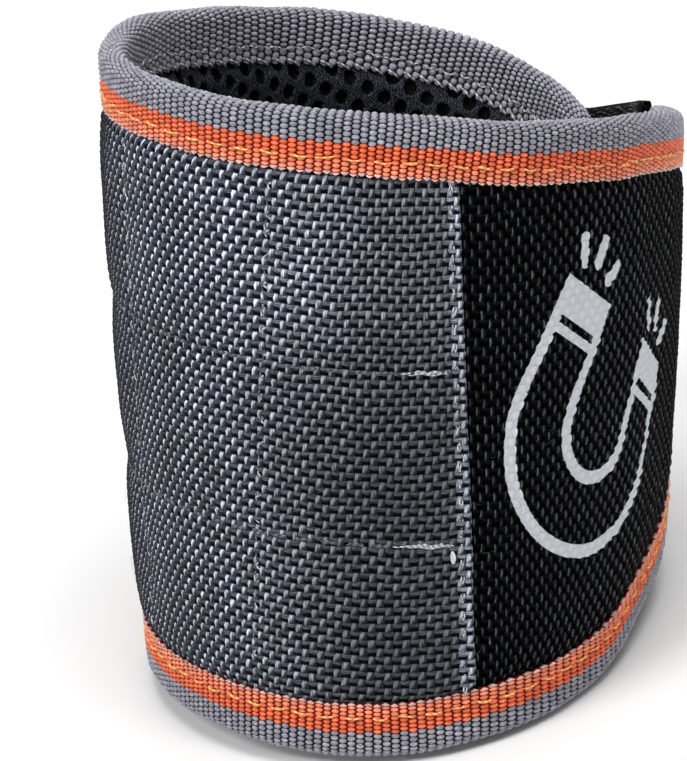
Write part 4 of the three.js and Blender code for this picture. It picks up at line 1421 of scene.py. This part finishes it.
for inner, label, material in ((False, "outer", THREAD_AMBER), (True, "inner", THREAD_GREY)):
    done(on_flap(tape_stitches(f"tape_stitches_{label}_right", SPLIT, FLAP_END - 3, inner, material, 31)), "thread")
    done(on_tail(tape_stitches(f"tape_stitches_{label}_left", SPLIT, TAIL_END + 3, inner, material, 32)), "thread")


def selvage(name, s_from, s_to):
    """The slanting loops of weft along the tape's inner lower edge, one for each two columns."""
    parts = []
    rng = np.random.default_rng(77)
    for top in (True, False):
        line = np.linspace(s_from, s_to, 3000)
        z, _ = edge_line(top, line)
        run = count_columns(top, line, z)
        start = np.arange(0.4, run[-1] - 2.0, 2.0)
        q = np.linspace(0, 1, 7)[None]
        way = -1 if s_to < s_from else 1
        along = start[:, None] + (q if way < 0 else 1 - q) * (1.45 + rng.normal(0, 0.06, (len(start), 1)))
        s = np.interp(along, run, line)
        ze, n = edge_frame(top, s)
        ee = 8.10 + 0.92 * q ** 1.4 + rng.normal(0, 0.05, (len(start), 1))
        arch = np.sin(PI * np.clip(q * 0.92 + 0.05, 0, 1))
        parts.append(place(s + n[..., 0] * ee, ze + n[..., 1] * ee, TAPE_IN - 0.30 + 0.46 * arch))
    return tubes(name, np.concatenate(parts), 0.20, 6, THREAD_GREY)


done(on_flap(selvage("tape_selvage_right", SPLIT, FLAP_END - 9)), "edge_tape")
done(on_tail(selvage("tape_selvage_left", SPLIT, TAIL_END + 9)), "edge_tape")


def face_depth(s, z):
    """Depth of the panel's yarn tops under a seam."""
    return -puff(s, z) + 0.25 - 0.42


def straight(a, b, depth=face_depth, slant=True):
    (s0, z0), (s1, z1) = a, b
    total = math.hypot(s1 - s0, z1 - z0)

    def f(t):
        q = t / total
        s, z = s0 + (s1 - s0) * q, z0 + (z1 - z0) * q
        d = depth(s, z)
        return (slanted(s, z) if slant else s), z, d
    return Line(f, total, ((z1 - z0) / total, (s0 - s1) / total))


def round_path(s_from, s_to, low, high, corner):
    """(s, z) points round three sides of a strip, its corners at s_to rounded, as a path of even steps."""
    a = np.linspace(0, PI / 2, 9)
    way = 1 if s_to > s_from else -1
    run = np.linspace(s_from, s_to - way * corner, 60)
    pts = [np.stack([run, low(run)], 1)]
    end = s_to - way * corner
    pts.append(np.stack([end + way * corner * np.sin(a), low(end) + corner * (1 - np.cos(a))], 1))
    pts.append(np.stack([end + way * corner * np.cos(a), high(end) - corner * (1 - np.sin(a))], 1))
    pts.append(np.stack([run[::-1], high(run[::-1])], 1))
    pts = np.concatenate(pts)
    step = np.linalg.norm(np.diff(pts, axis=0), axis=1)
    keep = np.concatenate([[True], step > 1e-6])
    pts = pts[keep]
    return pts, np.concatenate([[0], np.cumsum(np.linalg.norm(np.diff(pts, axis=0), axis=1))])


def along_path(pts, run, depth):
    def f(t):
        s, z = np.interp(t, run, pts[:, 0]), np.interp(t, run, pts[:, 1])
        return s, z, depth(s, z)
    return Line(f, run[-1], (0.0, 0.0))


tongue_path = round_path(109.5, TONGUE_END - 2.0, lambda s: low_edge(s) + 2.0, lambda s: high_edge(s) - 2.0 + np.interp(s, (93, 97, 120, 140), (0.85, 0.85, -0.42, 0.0)), 6.5)
q = stitch_paths(along_path(*tongue_path, lambda s, z: 5.45 - 0.16 + 0 * s - 0.12 * wobble(s, z, 27)), 2.5, 0.7, 0.12, jitter=0.05, uneven=0.12, seed=61)
done(on_tongue(tubes("tongue_stitches", q, 0.15, 6, THREAD_BLACK)), "thread")
loop_path = round_path(-113.5, -206.3, lambda s: STRAP_LOW + 1.6 + 0 * s, lambda s: STRAP_HIGH - 1.6 + 0 * s, 0.6)
q = stitch_paths(along_path(*loop_path, lambda s, z: -1.45 - 0.30 + 0 * s), 2.6, 0.6, 0.12, jitter=0.05, uneven=0.12, seed=62)
done(on_tail(tubes("loop_strip_stitches", q, 0.15, 6, THREAD_BLACK)), "thread")

dark, pale, bold = [], [], []
for s in (-68.2, -41.5, -14.3):
    seam = straight((s, 9.6), (s, 85.4))
    dark.append(stitch_paths(seam, 2.5, 0.5, 0.07 if s > -60 else 0.0, jitter=0.16 if s > -60 else 0.04, wave=0.10, uneven=0.35, seed=int(abs(s))))
    if s > -60:
        pale.append(stitch_paths(seam, 1.5, 1.9, 0.10, jitter=0.30, wave=0.16, turns=1.3, uneven=0.5, offset=0.12, seed=int(abs(s)) + 3))
for z in (33.2, 58.5):
    dark.append(stitch_paths(straight((-68.0, z), (5.0, z)), 2.9, 0.45, 0.08, jitter=0.12, wave=0.05, seed=int(z)))
    dark.append(stitch_paths(straight((-68.0, z), (5.0, z)), 2.7, 0.65, 0.05, jitter=0.12, wave=0.05, offset=0.24, seed=int(z)))
    # the row's end: strands that twist round one another, fewer and thinner away from the seam
    for n, (begin, offset, high, turns) in enumerate(((4.0, -0.05, 0.10, 1.6), (6.2, 0.12, 0.16, 2.1), (8.6, 0.0, 0.20, 1.2), (7.4, -0.20, 0.12, 2.6))):
        pale.append(stitch_paths(straight((begin, z - 0.1 + 0.01 * n), (13.4, z - 0.25)), 13.4 - begin, 0.1, high, dip=0.3, n=9, jitter=0.04,
                                 wave=0.15, turns=turns, offset=offset, seed=int(z) + n))
# the seam along the panel's right edge zigzags a little
for offset, phase in ((-0.12, 1), (0.14, 2)):
    bold.append(stitch_paths(straight((13.95, 9.4), (13.95, 85.6)), 2.6, 0.20, 0.20, jitter=0.09, wave=0.15 * (3 - 2 * phase), turns=1.0, offset=offset * 0.5, uneven=0.20, seed=41))
# the thread's end is a blob beside the seam
knot_t = np.linspace(0, 1, 9)[None]
knot = place(slanted(12.55 + 0.10 * knot_t, 32.2 - 1.9 * knot_t), 32.2 - 1.9 * knot_t, face_depth(12.6 + 0 * knot_t, 32.2 - 1.9 * knot_t) - 0.30)
knot_wide = 0.06 + 0.40 * np.sin(PI * np.clip(knot_t * 0.94 + 0.03, 0, 1)) ** 0.7 * (0.75 + 0.25 * knot_t)
done(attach(tubes("panel_thread_end", knot, knot_wide, 10, THREAD_KNOT), "band"), "thread")
done(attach(tubes("panel_seam_thread", np.concatenate(bold), 0.135, 6, THREAD_PALE), "band"), "thread")
stitches = tubes("panel_stitches_dark", np.concatenate(dark), 0.125, 6, THREAD_DARK)
done(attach(stitches, "band"), "thread")
stitches = tubes("panel_stitches_pale", np.concatenate(pale), 0.125, 6, THREAD_PALE)
done(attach(stitches, "band"), "thread")


def fuzz(name, count, s_from, s_to, depth, seed, slant=False):
    """Loose filaments that stand off the cloth here and there."""
    rng = np.random.default_rng(seed)
    s, z = rng.uniform(s_from, s_to, (count, 1)), rng.uniform(11, 84, (count, 1))
    a, bend = rng.uniform(0, 2 * PI, (count, 1)), rng.normal(0, 1.6, (count, 1))
    length = rng.uniform(0.7, 2.6, (count, 1))
    q = np.linspace(0, 1, 7)[None]
    ds, dz = np.cos(a + bend * q) * q * length, np.sin(a + bend * q) * q * length
    high = rng.uniform(0.15, 0.75, (count, 1)) * np.sin(PI * np.clip(q * rng.uniform(0.55, 1.0, (count, 1)), 0, 1))
    keep = ((z > low_edge(s) + 9.5) & (z < high_edge(s) - 9.5)).ravel()
    S, Z = (s + ds)[keep], (z + dz)[keep]
    return tubes(name, place(slanted(S, Z) if slant else S, Z, depth(S, Z) - high[keep]), 0.020, 3, FUZZ)


done(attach(fuzz("panel_fuzz", 150, -54, 15.5, lambda s, z: -puff(s, z) - 0.12, 51, True), "band"), "charcoal_weave")
done(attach(fuzz("shell_fuzz", 26, 19, 72, lambda s, z: -puff(s, z) + 0.0, 52, True), "band"), "black_weave")

# ---------------------------------------------------------------------------------------------
# Floor, light and camera
# ---------------------------------------------------------------------------------------------
def floor():
    """A broad smooth studio sheet, flat under the band and rising far behind it."""
    r = np.linspace(0, 1, 25)
    x = np.linspace(-3.5, 3.5, 25)
    y = np.linspace(-3.0, 6.0, 41)
    X, Y = np.meshgrid(x, y, indexing="ij")
    Z = np.where(Y > 3.0, (Y - 3.0) ** 2 * 0.25, 0.0) - 0.00002
    ob = new_object("floor", np.stack([X, Y, Z], -1) / MM, [quads_of(len(x), len(y))], {}, None, [])
    t = Tree("floor_paint")
    p = t.position()
    t.set(Base_Color=t.mix(t.noise(p, 3.0, 2.0), (0.88, 0.88, 0.88), (0.90, 0.90, 0.90)), Roughness=0.85, Specular_IOR_Level=0.2)
    ob.data.materials.append(t.mat)
    return ob


floor()


def area(name, at, to, size, power, colour=(1, 1, 1)):
    light = bpy.data.lights.new(name, "AREA")
    light.shape, light.size, light.size_y = "RECTANGLE", size[0], size[1]
    light.energy, light.color = power, colour
    ob = bpy.data.objects.new(name, light)
    bpy.context.scene.collection.objects.link(ob)
    ob.location = at
    ob.rotation_mode = "QUATERNION"
    ob.rotation_quaternion = (Vector(to) - Vector(at)).to_track_quat("-Z", "Y")
    return ob


MID = (0.0, 0.0, 0.05)
area("key", (-0.70, -0.72, 0.95), MID, (0.45, 0.45), 9.5)
area("top", (0.05, -0.16, 1.25), MID, (0.8, 0.8), 11.5)
area("fill", (1.1, -0.8, 0.5), MID, (0.5, 0.8), 2.0)
area("back", (0.1, 1.2, 0.9), MID, (1.2, 0.6), 6.0)

world = bpy.data.worlds.new("studio")
world.use_nodes = True
background = next(n for n in world.node_tree.nodes if n.type == "BACKGROUND")
background.inputs["Color"].default_value = (1, 1, 1, 1)
background.inputs["Strength"].default_value = 0.20
bpy.context.scene.world = world
bpy.context.scene.view_settings.view_transform = "Standard"

# the camera was fitted to the picture in the band's own frame
pitch, roll, reach = math.radians(16.726), math.radians(3.116), 575.42
v = np.array([0, math.cos(pitch), -math.sin(pitch)])
u = np.array([0, math.sin(pitch), math.cos(pitch)])
right = np.array([1, 0, 0]) * math.cos(roll) + u * math.sin(roll)
up = u * math.cos(roll) - np.array([1, 0, 0]) * math.sin(roll)
eye = R @ (np.array([0, 40, 47.5]) - v * reach) + SHIFT
ahead = v - 0.005254 * right - 0.004415 * up
ahead /= np.linalg.norm(ahead)
right = right - (right @ ahead) * ahead
right /= np.linalg.norm(right)
up = np.cross(right, ahead)
camera = bpy.data.objects.new("camera", bpy.data.cameras.new("camera"))
bpy.context.scene.collection.objects.link(camera)
camera.data.sensor_width = 36.0
camera.data.lens = 3859.50 / 761 * 36.0
camera.data.clip_start, camera.data.clip_end = 0.01, 20
turn = np.stack([R @ right, R @ up, -(R @ ahead)], 1)
camera.matrix_world = Matrix([[*turn[i], eye[i] * MM] for i in range(3)] + [[0, 0, 0, 1]])
bpy.context.scene.camera = camera
